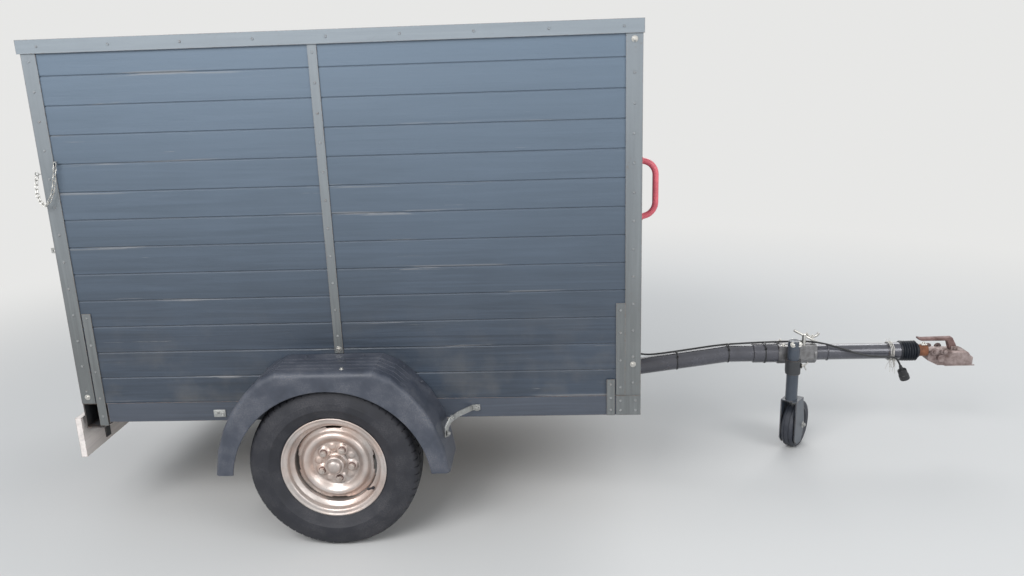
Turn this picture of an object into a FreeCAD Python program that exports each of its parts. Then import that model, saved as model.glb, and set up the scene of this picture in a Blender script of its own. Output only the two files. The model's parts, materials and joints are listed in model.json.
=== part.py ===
import FreeCAD, Part
import math
import os
import Sketcher

# Box-bodied utility trailer, one axle, standing on its jockey wheel.
# Millimetres, +X towards the coupling, +Y to the trailer's left, +Z up.
# Everything is laid out from the axle line on the ground, and each sub-part's
# Placement then moves it so that the row's origin is the middle of the whole
# trailer's footprint.

# Driving dimensions: alias, number, what it is.
DRIVING = [
    ("box_width", 1210, "over the corner posts"),
    ("rear_reach", 941, "wheel axis to the rear face of the posts"),
    ("front_reach", 1059, "wheel axis to the front face of the posts"),
    ("deck_height", 404, "ground to the underside of the side rails"),
    ("box_tall", 1328, "underside of the side rails to the top of the roof"),
    ("rail_tall", 72, "side rail height"),
    ("rail_flange", 35, "side rail flange"),
    ("rail_wall", 3, "side rail thickness"),
    ("member_leg", 40, "cross member leg"),
    ("member_wall", 4, "cross member thickness"),
    ("member_last", 680, "axle to the rearmost cross member"),
    ("member_clear", 144, "front member to the cross member behind it"),
    ("member_count", 5, "number of cross members"),
    ("sill_deep", 92, "rear sill, front to back"),
    ("sill_drop", 24, "rear sill below the side rails"),
    ("sill_bevel", 30, "bevel on the sill's lower front edge"),
    ("sill_wall", 4, "rear sill thickness"),
    ("floor_thick", 12, "plywood floor"),
    ("post_front", 54, "front post leg"),
    ("post_rear", 49, "rear post leg"),
    ("post_wall", 4, "post and strip thickness"),
    ("board_thick", 18, "wall boards"),
    ("board_pitch", 95, "board to board"),
    ("groove_wide", 7, "mouth of the groove between boards"),
    ("groove_deep", 3.5, "depth of the groove between boards"),
    ("roof_thick", 12, "roof sheet"),
    ("cap_band", 44, "height of the roof trim"),
    ("cap_leg", 40, "roof trim leg on the roof"),
    ("cap_tail", 10, "roof trim past the rear posts"),
    ("batten_wide", 30, "flat bar up the middle of each side"),
    ("batten_ahead", 10, "centre of that bar ahead of the wheel axis"),
    ("batten_foot", 175, "floor to its lower end"),
    ("strip_wide", 31, "doubling strips beside the posts"),
    ("strip_tall", 335, "doubling strips above the floor"),
    ("strip_foot", 14, "rear strip below the side rails"),
    ("strip_gap", 5, "gap between neighbouring strips"),
    ("joint_tall", 133, "joint plate over the front end of the rail"),
    ("joint_wide", 28, "joint plate width"),
    ("door_gap", 5, "gap round the door"),
    ("door_bar", 5, "flat bars on the outside of the door"),
    ("door_frame", 50, "width of those bars"),
    ("door_panel", 18, "door boards"),
    ("header_tall", 28, "header over the door"),
    ("header_deep", 25, "header, front to back"),
    ("hinge_out", 8, "hinge pin axis behind the door's face"),
    ("pin_radius", 4, "hinge pin radius"),
    ("knuckle_radius", 7, "hinge knuckle radius"),
    ("knuckle_room", 1, "gap between a knuckle and the plates beside it"),
    ("running_gap", 0.05, "radial clearance of pins and shafts"),
    ("seat_gap", 0.3, "gap where a curved face rests beside another"),
    ("hinge_tall", 48, "hinge height"),
    ("strap_tall", 36, "hinge strap height"),
    ("strap_long", 260, "hinge strap length on the door"),
    ("strap_wall", 4, "hinge strap thickness"),
    ("plate_wide", 34, "hinge plate width on the post"),
    ("hasp_rise", 560, "floor to the middle of the hasp"),
    ("hasp_long", 150, "hasp length"),
    ("hasp_tall", 44, "hasp height"),
    ("slot_tall", 30, "slot in the hasp, height"),
    ("slot_wide", 17, "slot in the hasp, width"),
    ("staple_out", 26, "staple out of the post"),
    ("staple_rod", 6, "staple rod, across"),
    ("staple_tall", 18, "staple height"),
    ("tyre_radius", 295, "tyre outside radius"),
    ("tyre_width", 165, "tyre section width"),
    ("wheel_gap", 20, "box side to the tyre"),
    ("bead_radius", 165, "rim bead seat radius"),
    ("rim_radius", 183, "rim flange radius"),
    ("rim_wide", 130, "rim width over the flanges"),
    ("rim_wall", 5, "rim thickness"),
    ("well_deep", 17, "depth of the rim's well below the bead seat"),
    ("well_wide", 54, "width of the rim's well"),
    ("well_out", 4, "centre of the well outboard of the wheel centre"),
    ("disc_set", 22, "wheel disc outside face outboard of the wheel centre"),
    ("crown_out", 15, "raised ring of the disc outboard of that face"),
    ("crown_radius", 104, "radius of the raised ring"),
    ("bowl_radius", 77, "radius of the flat that carries the studs"),
    ("bore_radius", 32.5, "centre bore of the disc"),
    ("vent_radius", 131, "middle radius of the slots in the disc"),
    ("vent_deep", 12, "slot, in and out"),
    ("vent_wide", 66, "slot, along the disc"),
    ("stud_circle", 112, "stud circle diameter"),
    ("stud_radius", 6, "stud radius"),
    ("stud_long", 14, "stud out of the disc"),
    ("stud_count", 5, "number of studs"),
    ("stud_turn", 63, "angle of the first stud above straight ahead"),
    ("drum_radius", 115, "brake drum radius"),
    ("drum_wide", 58, "brake drum width"),
    ("hub_radius", 32, "hub nose radius"),
    ("hub_nose", 30, "hub nose out of the disc"),
    ("stub_radius", 15, "stub axle radius"),
    ("beam_size", 70, "axle beam, square"),
    ("beam_wall", 6, "axle beam thickness"),
    ("beam_ahead", 140, "axle beam ahead of the wheel axis"),
    ("beam_drop", 51, "side rails down to the axle beam's centre"),
    ("beam_plate", 6, "plate between the axle beam and the side rail"),
    ("arm_wide", 30, "suspension arm width"),
    ("arm_radius", 40, "suspension arm eye radius"),
    ("knuckle_boss", 30, "radius of the boss that carries the stub axle"),
    ("plate_radius", 119, "brake back plate radius"),
    ("plate_wall", 3, "brake back plate thickness"),
    ("guard_out", 10, "mudguard skirt past the tyre"),
    ("guard_wall", 3, "mudguard thickness"),
    ("guard_top", 649, "ground to the top of the mudguard"),
    ("guard_flat", 165, "half length of the mudguard's flat top"),
    ("guard_foot", 402, "wheel axis to each end of the mudguard"),
    ("guard_deep", 364, "mudguard's top down to its ends"),
    ("guard_round", 20, "rounding between top and skirt"),
    ("rib_first", 46, "box side to the first rib"),
    ("rib_pitch", 32, "distance between ribs"),
    ("rib_count", 4, "number of ribs on a mudguard"),
    ("rib_wide", 9, "rib width"),
    ("rib_rise", 2.5, "rib height"),
    ("arch_radius", 344, "wheel opening radius in the skirt"),
    ("arch_rise", 242, "ground to the centre of that opening"),
    ("stay_rear", 320, "wheel axis back to the rear stay"),
    ("stay_front", 320, "wheel axis ahead to the front stay"),
    ("stay_drop", 240, "mudguard's top down to the stays"),
    ("stay_tall", 25, "stay height"),
    ("stay_wall", 8, "stay thickness"),
    ("bar_radius", 35, "drawbar tube radius"),
    ("bar_wall", 4, "drawbar tube wall"),
    ("bar_drop", 51, "side rails down to the drawbar's centre"),
    ("bar_high", 408, "ground to the drawbar's centre at the coupling end"),
    ("bend_ahead", 16, "box front to the first bend of the drawbar"),
    ("rise_long", 415, "rising stretch of the drawbar"),
    ("level_long", 107, "second bend to the sleeve"),
    ("bracket_long", 90, "block between drawbar and box, front to back"),
    ("bracket_wide", 60, "block between drawbar and box, across"),
    ("bracket_grip", 6, "how far that block reaches down the drawbar"),
    ("sleeve_long", 98, "sleeve length"),
    ("sleeve_radius", 40, "sleeve radius"),
    ("saddle_long", 155, "jockey wheel saddle length"),
    ("saddle_lip", 3, "end rings of the saddle past its body"),
    ("ring_long", 10, "end rings, front to back"),
    ("tube_long", 296, "front tube between saddle and collar"),
    ("front_radius", 32.5, "front tube radius"),
    ("collar_long", 50, "collar at the end of the front tube"),
    ("collar_radius", 36, "collar radius"),
    ("bellows_long", 77, "bellows length"),
    ("bellows_radius", 42, "bellows radius over the folds"),
    ("fold_deep", 9, "depth of a fold"),
    ("fold_count", 6, "number of folds"),
    ("shaft_radius", 24, "overrun shaft radius"),
    ("shaft_bare", 37, "bare shaft between bellows and coupling head"),
    ("head_long", 190, "coupling head length"),
    ("head_wide", 66, "coupling head width"),
    ("head_tall", 66, "coupling head height"),
    ("head_drop", 58, "shaft's centre down to the coupling's lower lip"),
    ("head_round", 12, "rounding of the head's upper edges"),
    ("boss_radius", 15, "side boss radius"),
    ("boss_out", 5, "side boss out of the head"),
    ("boss_back", 143, "coupling's tip back to the side boss"),
    ("ball_radius", 25.2, "ball socket radius"),
    ("ball_deep", 40, "ball socket depth"),
    ("nose_wall", 16, "coupling's tip to the socket"),
    ("lever_long", 147, "coupling lever length"),
    ("lever_rise", 50, "top of the head to the top of the lever"),
    ("lever_wide", 26, "coupling lever width"),
    ("lever_back", 85, "coupling's tip back to the lever's pivot"),
    ("leg_radius", 24, "jockey leg radius"),
    ("leg_wall", 3, "jockey leg wall"),
    ("leg_ahead", 50, "sleeve to the jockey leg"),
    ("leg_over", 55, "jockey leg above the drawbar's centre"),
    ("leg_foot", 228, "ground to the lower end of the jockey leg"),
    ("clamp_long", 60, "jockey clamp height"),
    ("clamp_drop", 5, "drawbar's centre down to the top of the clamp"),
    ("clamp_wall", 6, "jockey clamp wall"),
    ("handle_back", 53, "clamp screw from the saddle's rear end"),
    ("handle_side", 25, "clamp screw right of the centre line"),
    ("handle_rise", 47, "clamp screw above the saddle"),
    ("tommy_long", 96, "length of the bar through the clamp screw"),
    ("tommy_radius", 5, "radius of that bar"),
    ("tommy_tilt", 28, "slope of that bar"),
    ("wing_long", 30, "finger plate on the end of that bar"),
    ("wheel_small", 100, "jockey wheel radius"),
    ("tread_small", 48, "jockey wheel width"),
    ("trail_small", 60, "jockey wheel trail"),
    ("turn_small", 53, "angle of the jockey wheel from straight ahead"),
    ("fork_wall", 5, "jockey fork plate"),
    ("fork_room", 5, "jockey fork to its wheel"),
    ("pin_small", 6, "jockey wheel axle radius"),
    ("stem_long", 60, "fork stem inside the leg"),
    ("grip_low", 651, "side rails up to the bottom of the grab handle"),
    ("grip_tall", 245, "grab handle height"),
    ("grip_inset", 155, "box side to the grab handle"),
    ("grip_reach", 78, "grab handle out from the front wall"),
    ("grip_radius", 11, "grab handle grip radius"),
    ("grip_foot", 50, "screw plate height"),
    ("grip_plate", 48, "screw plate width"),
    ("grip_base", 8, "screw plate thickness"),
    ("grip_bend", 37, "screw hole to the straight grip, up the wall"),
    ("board_back", 14, "light board behind the posts"),
    ("plank_thick", 22, "light board thickness"),
    ("plank_drop", 136, "side rails down to the light board's lower edge"),
    ("plank_tall", 152, "light board height"),
    ("lamp_out", 225, "light board end to the lamp's centre"),
    ("lamp_wide", 150, "lamp width"),
    ("lamp_tall", 80, "lamp height"),
    ("lamp_deep", 30, "lamp depth"),
    ("bracket_inset", 150, "box side to the light board's brackets"),
    ("bracket_bar", 30, "width of those brackets"),
    ("bracket_wall", 5, "thickness of those brackets"),
    ("gland_rise", 21, "side rails up to the cable gland"),
    ("gland_radius", 9, "cable gland radius"),
    ("gland_long", 14, "cable gland length"),
    ("cable_radius", 4, "cable radius"),
    ("plug_radius", 20, "plug radius"),
    ("plug_long", 64, "plug length"),
    ("plug_tilt", 22.75, "plug's lean from hanging straight down"),
]

document = FreeCAD.newDocument("utility_trailer")
sizes = document.addObject("Spreadsheet::Sheet", "sizes")
for row, (alias, number, meaning) in enumerate(DRIVING, start=1):
    sizes.set(f"A{row}", meaning)
    sizes.set(f"B{row}", str(number))
    sizes.setAlias(f"B{row}", alias)
document.recompute()

# Places that several sub-parts share, as expressions on the driving dimensions.
HALF = "(sizes.box_width / 2)"
DECK = "sizes.deck_height"
FLOOR = f"({DECK} + sizes.rail_tall)"
TOP = f"({DECK} + sizes.box_tall)"
ROOF = f"({TOP} - sizes.post_wall)"
WALL_TOP = f"({ROOF} - sizes.roof_thick)"
SKIN = f"({HALF} - sizes.post_wall)"
INSIDE = f"({SKIN} - sizes.board_thick)"
REAR = "(0 - sizes.rear_reach)"
FRONT = "sizes.front_reach"
FRONT_SKIN = f"({FRONT} - sizes.post_wall)"
DOOR_THICK = "(sizes.door_bar + sizes.door_panel)"
DOOR_SIDE = f"({HALF} - sizes.post_rear - sizes.door_gap)"
DOOR_LOW = f"({FLOOR} + sizes.door_gap)"
DOOR_HIGH = f"({TOP} - sizes.cap_band - sizes.door_gap)"
PIN_X = f"({REAR} - sizes.hinge_out)"
PIN_Y = f"({HALF} - sizes.post_rear)"
BOARD_BACK = f"({REAR} - sizes.board_back)"
PLANK_LOW = f"({DECK} - sizes.plank_drop)"
REAR_END = f"({BOARD_BACK} - sizes.plank_thick - sizes.lamp_deep)"

WHEEL_LINE = f"({HALF} + sizes.wheel_gap + sizes.tyre_width / 2)"
DISC_FACE = f"({WHEEL_LINE} + sizes.disc_set)"
HUB_FACE = f"({DISC_FACE} - sizes.rim_wall)"
STUD_X = "sizes.stud_circle / 2 * cos(sizes.stud_turn)"
STUD_Z = "sizes.stud_circle / 2 * sin(sizes.stud_turn)"
BRAKE_BACK = f"({HUB_FACE} - sizes.drum_wide - 2 * sizes.plate_wall)"
GUARD_SIDE = f"({WHEEL_LINE} + sizes.tyre_width / 2 + sizes.guard_out)"
BEAM_RISE = f"({DECK} - sizes.beam_drop)"
BEAM_BACK = "(sizes.beam_ahead - sizes.beam_size / 2)"
BEAM_FRONT = "(sizes.beam_ahead + sizes.beam_size / 2)"
BEAM_SIDE = f"({HALF} - sizes.rail_flange - sizes.arm_wide)"

BAR_LOW = f"({DECK} - sizes.bar_drop)"
BAR_HIGH = "sizes.bar_high"
BEND_LOW = f"({FRONT} + sizes.bend_ahead)"
BEND_HIGH = f"({BEND_LOW} + sizes.rise_long)"
SLEEVE = f"({BEND_HIGH} + sizes.level_long)"
SADDLE = f"({SLEEVE} + sizes.sleeve_long)"
SADDLE_END = f"({SADDLE} + sizes.saddle_long)"
COLLAR = f"({SADDLE_END} + sizes.tube_long)"
COLLAR_END = f"({COLLAR} + sizes.collar_long)"
BELLOWS_END = f"({COLLAR_END} + sizes.bellows_long)"
HEAD = f"({BELLOWS_END} + sizes.shaft_bare)"
HEAD_TIP = f"({HEAD} + sizes.head_long)"
HEAD_LOW = f"({BAR_HIGH} - sizes.head_drop)"
LEG_X = f"({SADDLE} + sizes.leg_ahead)"
LEG_SIDE = "(sizes.sleeve_radius + sizes.clamp_wall + sizes.leg_radius)"
LEG_TOP = f"({BAR_HIGH} + sizes.leg_over)"
CLAMP_LOW = f"({BAR_HIGH} - sizes.clamp_drop - sizes.clamp_long)"
MIDDLE = f"(({REAR_END} + {HEAD_TIP}) / 2)"

finished = []


def number(expression):
    """Value of an expression on the driving dimensions."""
    return float(sizes.evalExpression(expression))


def keep(piece, at_x="0"):
    """Put a finished sub-part in the row's frame and on the list to export."""
    piece.setExpression("Placement.Base.x", f"{at_x} - {MIDDLE}")
    finished.append(piece)
    return piece


def new_body(label):
    body = document.addObject("PartDesign::Body", label)
    body.Label = label
    return body


def new_sketch(body, name, role, offset=None):
    """Sketch on one of the body's own origin planes, moved along its normal."""
    item = body.newObject("Sketcher::SketchObject", name)
    plane = next(part for part in body.Origin.OriginFeatures if part.Role == role)
    item.AttachmentSupport = [(plane, "")]
    item.MapMode = "FlatFace"
    if offset:
        item.setExpression("AttachmentOffset.Base.z", offset)
    return item


def pin_down(item, curve, vertex, across, up):
    """Tie a sketch point to two expressions."""
    for kind, expression, axis in (("DistanceX", across, -2), ("DistanceY", up, -1)):
        value = number(expression)
        if abs(value) < 1e-9:
            item.addConstraint(Sketcher.Constraint("PointOnObject", curve, vertex, axis))
        else:
            tie = item.addConstraint(Sketcher.Constraint(kind, -1, 1, curve, vertex, value))
            item.setExpression(f"Constraints[{tie}]", expression)


def outline(item, corners):
    """Closed outline of straight lines through corners given as expressions."""
    start = item.GeometryCount
    places = [FreeCAD.Vector(number(across), number(up), 0) for across, up in corners]
    total = len(places)
    for index in range(total):
        item.addGeometry(Part.LineSegment(places[index], places[(index + 1) % total]), False)
    for index in range(total):
        joined = start + (index + 1) % total
        item.addConstraint(Sketcher.Constraint("Coincident", start + index, 2, joined, 1))
    for index, (across, up) in enumerate(corners):
        pin_down(item, start + index, 1, across, up)


def rectangle(item, left, right, low, high):
    outline(item, [(left, low), (right, low), (right, high), (left, high)])


def open_line(item, corners):
    """Open line through corners given as expressions, for a pipe to follow."""
    places = [FreeCAD.Vector(number(across), number(up), 0) for across, up in corners]
    for index in range(len(places) - 1):
        item.addGeometry(Part.LineSegment(places[index], places[index + 1]), False)
        if index:
            item.addConstraint(Sketcher.Constraint("Coincident", index - 1, 2, index, 1))
        pin_down(item, index, 1, *corners[index])
    pin_down(item, len(places) - 2, 2, *corners[-1])


def ring(item, across, up, radius):
    """Circle with its centre and radius tied to expressions."""
    centre = FreeCAD.Vector(number(across), number(up), 0)
    curve = item.GeometryCount
    item.addGeometry(Part.Circle(centre, FreeCAD.Vector(0, 0, 1), number(radius)), False)
    pin_down(item, curve, 3, across, up)
    tie = item.addConstraint(Sketcher.Constraint("Radius", curve, number(radius)))
    item.setExpression(f"Constraints[{tie}]", radius)


def pad(body, name, profile, length, midplane=False, reverse=False):
    feature = body.newObject("PartDesign::Pad", name)
    feature.Profile = profile
    feature.setExpression("Length", length)
    feature.Midplane = midplane
    feature.Reversed = reverse
    document.recompute()
    return feature


def pocket(body, name, profile, length, reverse=False, midplane=False):
    feature = body.newObject("PartDesign::Pocket", name)
    feature.Profile = profile
    feature.setExpression("Length", length)
    feature.Midplane = midplane
    feature.Reversed = reverse
    document.recompute()
    return feature


def turned(body, name, profile, axis):
    """Full revolution about one of the sketch's own axes."""
    feature = body.newObject("PartDesign::Revolution", name)
    feature.Profile = profile
    feature.ReferenceAxis = (profile, [axis])
    feature.Angle = 360
    document.recompute()
    return feature


def around(body, name, feature, role, count):
    """Repeat a feature evenly round one of the body's own axes."""
    row = body.newObject("PartDesign::PolarPattern", name)
    row.Originals = [feature]
    axis = next(part for part in body.Origin.OriginFeatures if part.Role == role)
    row.Axis = (axis, [""])
    row.Angle = 360
    row.setExpression("Occurrences", count)
    body.Tip = row
    document.recompute()
    return row


def in_line(body, name, feature, direction, pitch, count):
    """Repeat a feature at a pitch along a sketch's axis."""
    row = body.newObject("PartDesign::LinearPattern", name)
    row.Originals = [feature]
    row.Direction = direction
    row.Mode = "Spacing"
    row.setExpression("Offset", pitch)
    if isinstance(count, str):
        row.setExpression("Occurrences", count)
    else:
        row.Occurrences = count
    body.Tip = row
    document.recompute()
    return row


def rounded(body, name, feature, radius, chosen):
    """Fillet the edges of a feature that the test picks out."""
    edges = [f"Edge{index + 1}" for index, edge in enumerate(feature.Shape.Edges) if chosen(edge)]
    fillet = body.newObject("PartDesign::Fillet", name)
    fillet.Base = (feature, edges)
    fillet.setExpression("Radius", radius)
    body.Tip = fillet
    document.recompute()
    return fillet


def block(label, low, high):
    """Plain box between two corners given as expressions."""
    piece = document.addObject("Part::Box", label)
    piece.Label = label
    for side, first, last in zip(("Length", "Width", "Height"), low, high):
        piece.setExpression(side, f"({last}) - ({first})")
    for axis, place in zip("xyz", low):
        piece.setExpression(f"Placement.Base.{axis}", place)
    return piece


def rod(label, radius, length, place, turn=None):
    """Plain cylinder from a place along a direction."""
    piece = document.addObject("Part::Cylinder", label)
    piece.Label = label
    piece.setExpression("Radius", radius)
    piece.setExpression("Height", length)
    if turn:
        piece.Placement.Rotation = turn
    for axis, value in zip("xyz", place):
        piece.setExpression(f"Placement.Base.{axis}", value)
    return piece


ALONG_X = FreeCAD.Rotation(FreeCAD.Vector(0, 1, 0), 90)


def fused(label, pieces):
    piece = document.addObject("Part::MultiFuse", label)
    piece.Label = label
    piece.Shapes = pieces
    return piece


def cut(label, base, tool):
    piece = document.addObject("Part::Cut", label)
    piece.Label = label
    piece.Base = base
    piece.Tool = tool
    return piece


def group(label, pieces):
    """Like pieces that don't touch, kept as one sub-part."""
    piece = document.addObject("Part::Compound", label)
    piece.Label = label
    piece.Links = pieces
    return piece


def mirrored(source, label):
    """The same piece on the trailer's other side."""
    piece = document.addObject("Part::Mirroring", label)
    piece.Label = label
    piece.Source = source
    piece.Normal = FreeCAD.Vector(0, 1, 0)
    return piece


def pair(piece, stem):
    """Keep a right-hand piece and its left-hand twin."""
    keep(piece)
    finished.append(mirrored(piece, f"{stem}_left"))


def twins(piece, label):
    """Keep a right-hand piece and its left-hand twin as one sub-part."""
    keep(group(label, [piece, mirrored(piece, f"{label}_twin")]))


def channel(item, face, lip, low, high, wall, inward):
    """Section of a channel with its web at face and its lips at lip."""
    web = f"{face} {inward} {wall}"
    outline(item, [
        (face, low),
        (lip, low),
        (lip, f"{low} + {wall}"),
        (web, f"{low} + {wall}"),
        (web, f"{high} - {wall}"),
        (lip, f"{high} - {wall}"),
        (lip, high),
        (face, high),
    ])


def side_rails():
    body = new_body("side_rail_right")
    profile = new_sketch(body, "rail_profile", "YZ_Plane", f"{REAR} + sizes.sill_deep")
    channel(profile, f"0 - {HALF}", f"sizes.rail_flange - {HALF}", DECK, FLOOR, "sizes.rail_wall", "+")
    pad(body, "rail", profile, f"{FRONT} - sizes.post_front - ({REAR} + sizes.sill_deep)")
    pair(body, "side_rail")


def end_members():
    """Folded rear sill, and the front channel with the cable's gland."""
    sill = new_body("rear_sill")
    profile = new_sketch(sill, "sill_profile", "XZ_Plane")
    low = f"{DECK} - sizes.sill_drop"
    front = f"{REAR} + sizes.sill_deep"
    bevel, wall = "sizes.sill_bevel", "sizes.sill_wall"
    outline(profile, [
        (REAR, low),
        (f"{front} - {bevel}", low),
        (front, f"{low} + {bevel} / 2"),
        (front, FLOOR),
        (REAR, FLOOR),
    ])
    outline(profile, [
        (f"{REAR} + {wall}", f"{low} + {wall}"),
        (f"{front} - {bevel} - {wall} / 4", f"{low} + {wall}"),
        (f"{front} - {wall}", f"{low} + {bevel} / 2 + {wall} / 2"),
        (f"{front} - {wall}", f"{FLOOR} - {wall}"),
        (f"{REAR} + {wall}", f"{FLOOR} - {wall}"),
    ])
    pad(sill, "sill", profile, f"2 * {SKIN}", midplane=True)
    keep(sill)

    member = new_body("front_member")
    profile = new_sketch(member, "front_profile", "XZ_Plane")
    channel(profile, FRONT, f"{FRONT} - sizes.rail_flange", DECK, FLOOR, "sizes.rail_wall", "-")
    pad(member, "front", profile, "sizes.box_width - 2 * sizes.post_front", midplane=True)
    gland = new_sketch(member, "gland_profile", "YZ_Plane", FRONT)
    ring(gland, "0", f"{DECK} + sizes.gland_rise", "sizes.gland_radius")
    pad(member, "gland", gland, "sizes.gland_long")
    keep(member)


def cross_members():
    body = new_body("cross_members")
    body.AllowCompound = True
    profile = new_sketch(body, "member_profile", "XZ_Plane")
    back, wall, leg = "(0 - sizes.member_last)", "sizes.member_wall", "sizes.member_leg"
    outline(profile, [
        (back, f"{FLOOR} - {leg}"),
        (f"{back} + {wall}", f"{FLOOR} - {leg}"),
        (f"{back} + {wall}", f"{FLOOR} - {wall}"),
        (f"{back} + {leg}", f"{FLOOR} - {wall}"),
        (f"{back} + {leg}", FLOOR),
        (back, FLOOR),
    ])
    member = pad(body, "member", profile, "sizes.box_width - 2 * sizes.rail_flange", midplane=True)
    room = f"({FRONT} - sizes.rail_flange - sizes.member_clear - {leg} + sizes.member_last)"
    in_line(body, "member_row", member, (profile, ["H_Axis"]),
            f"{room} / (sizes.member_count - 1)", "sizes.member_count")
    keep(body)


def grooved_wall(label, plane, face, inward, low, high, bottom, top, thick="sizes.board_thick"):
    """Boarded wall: a flat slab with a groove at each board joint on its face.

    plane is the plane that shows the wall's end, face the side on which the
    grooves lie, and inward the sign that leads from it into the wall.
    """
    body = new_body(label)
    profile = new_sketch(body, "slab_profile", plane, low)
    rectangle(profile, face, f"({face}) {inward} {thick}", bottom, top)
    pad(body, "slab", profile, f"({high}) - ({low})")
    notch = new_sketch(body, "groove_profile", plane, low)
    seam = f"({bottom}) + sizes.board_pitch"
    outline(notch, [
        (face, f"{seam} - sizes.groove_wide / 2"),
        (f"({face}) {inward} sizes.groove_deep", seam),
        (face, f"{seam} + sizes.groove_wide / 2"),
    ])
    groove = pocket(body, "groove", notch, f"({high}) - ({low})", reverse=True)
    boards = int((number(top) - number(bottom)) / number("sizes.board_pitch"))
    in_line(body, "groove_row", groove, (notch, ["V_Axis"]), "sizes.board_pitch", boards)
    return body


def walls():
    right = grooved_wall("side_wall_right", "YZ_Plane", f"0 - {SKIN}", "+",
                         f"{REAR} + sizes.post_wall", FRONT_SKIN, FLOOR, WALL_TOP)
    pair(right, "side_wall")
    keep(grooved_wall("front_wall", "XZ_Plane", FRONT_SKIN, "-", f"0 - {INSIDE}", INSIDE, FLOOR, WALL_TOP))
    slabs = [
        # node, rear, front, half width, bottom, top
        ("floor", f"{REAR} + {DOOR_THICK} + sizes.door_gap", f"{FRONT_SKIN} - sizes.board_thick",
         INSIDE, FLOOR, f"{FLOOR} + sizes.floor_thick"),
        ("roof", f"{REAR} + sizes.post_wall", FRONT_SKIN, SKIN, WALL_TOP, ROOF),
        ("door_header", f"{REAR} + sizes.post_wall", f"{REAR} + sizes.post_wall + sizes.header_deep",
         INSIDE, f"{WALL_TOP} - sizes.header_tall", WALL_TOP),
    ]
    for label, back, front, side, low, high in slabs:
        slab = block(label, (back, f"0 - {side}", low), (front, side, high))
        keep(slab, back)


def angle_post(label, corner, leg, inward, low):
    """Steel angle standing at a corner on the right-hand side."""
    body = new_body(label)
    profile = new_sketch(body, "angle_profile", "XY_Plane", low)
    edge, wall = f"0 - {HALF}", "sizes.post_wall"
    outline(profile, [
        (corner, edge),
        (f"{corner} {inward} {leg}", edge),
        (f"{corner} {inward} {leg}", f"{edge} + {wall}"),
        (f"{corner} {inward} {wall}", f"{edge} + {wall}"),
        (f"{corner} {inward} {wall}", f"{edge} + {leg}"),
        (corner, f"{edge} + {leg}"),
    ])
    pad(body, "angle", profile, f"{ROOF} - ({low})")
    pair(body, label.rsplit("_", 1)[0])


def posts_and_trim():
    angle_post("rear_post_right", REAR, "sizes.post_rear", "+", FLOOR)
    angle_post("front_post_right", FRONT, "sizes.post_front", "-", DECK)

    side = new_body("roof_trim_right")
    profile = new_sketch(side, "trim_profile", "YZ_Plane", f"{REAR} - sizes.cap_tail")
    outer = f"0 - {HALF} - sizes.post_wall"
    outline(profile, [
        (outer, f"{TOP} - sizes.cap_band"),
        (f"0 - {HALF}", f"{TOP} - sizes.cap_band"),
        (f"0 - {HALF}", ROOF),
        (f"sizes.cap_leg - {HALF}", ROOF),
        (f"sizes.cap_leg - {HALF}", TOP),
        (outer, TOP),
    ])
    pad(side, "trim", profile, f"{FRONT} + sizes.post_wall - ({REAR} - sizes.cap_tail)")
    pair(side, "roof_trim")

    ends = [
        # node, rear face of the band, rear edge of the leaf on the roof
        ("roof_trim_front", FRONT, f"{FRONT} - sizes.cap_leg"),
        ("roof_trim_rear", f"{REAR} - sizes.post_wall", f"{REAR} - sizes.post_wall"),
    ]
    for label, near, leaf_back in ends:
        band = block(f"{label}_band", (near, f"0 - {HALF}", f"{TOP} - sizes.cap_band"),
                     (f"{near} + sizes.post_wall", HALF, ROOF))
        side = f"({HALF} - sizes.cap_leg)"
        leaf = block(f"{label}_leaf", (leaf_back, f"0 - {side}", ROOF),
                     (f"{leaf_back} + sizes.cap_leg + sizes.post_wall", side, TOP))
        keep(fused(label, [band, leaf]))


def side_strips():
    """Flat bars screwed to each side, and the plates over the rail's front end."""
    face, skin, proud = f"0 - {HALF}", f"0 - {SKIN}", f"0 - {HALF} - sizes.post_wall"
    back = f"({REAR} + sizes.post_rear + sizes.strip_gap)"
    front = f"({FRONT} - sizes.post_front - sizes.strip_wide)"
    joint = f"({front} - sizes.strip_gap - sizes.joint_wide)"
    middle = "sizes.batten_ahead"
    half = "sizes.batten_wide / 2"
    strip_top = f"{FLOOR} + sizes.strip_tall"
    bars = [
        # name, rear, front, outer face, inner face, bottom, top
        ("batten", f"{middle} - {half}", f"{middle} + {half}", face, skin,
         f"{FLOOR} + sizes.batten_foot", WALL_TOP),
        ("rear_strip", back, f"{back} + sizes.strip_wide", face, skin,
         f"{DECK} - sizes.strip_foot", strip_top),
        ("front_strip", front, f"{front} + sizes.strip_wide", face, skin, FLOOR, strip_top),
        ("foot_plate", front, FRONT, proud, face, DECK, FLOOR),
        ("joint_plate", joint, f"{joint} + sizes.joint_wide", proud, face,
         DECK, f"{DECK} + sizes.joint_tall"),
    ]
    pieces = [block(name, (rear, outer, low), (ahead, inner, high))
              for name, rear, ahead, outer, inner, low, high in bars]
    twins(group("side_strips_right", pieces), "side_strips")


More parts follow.
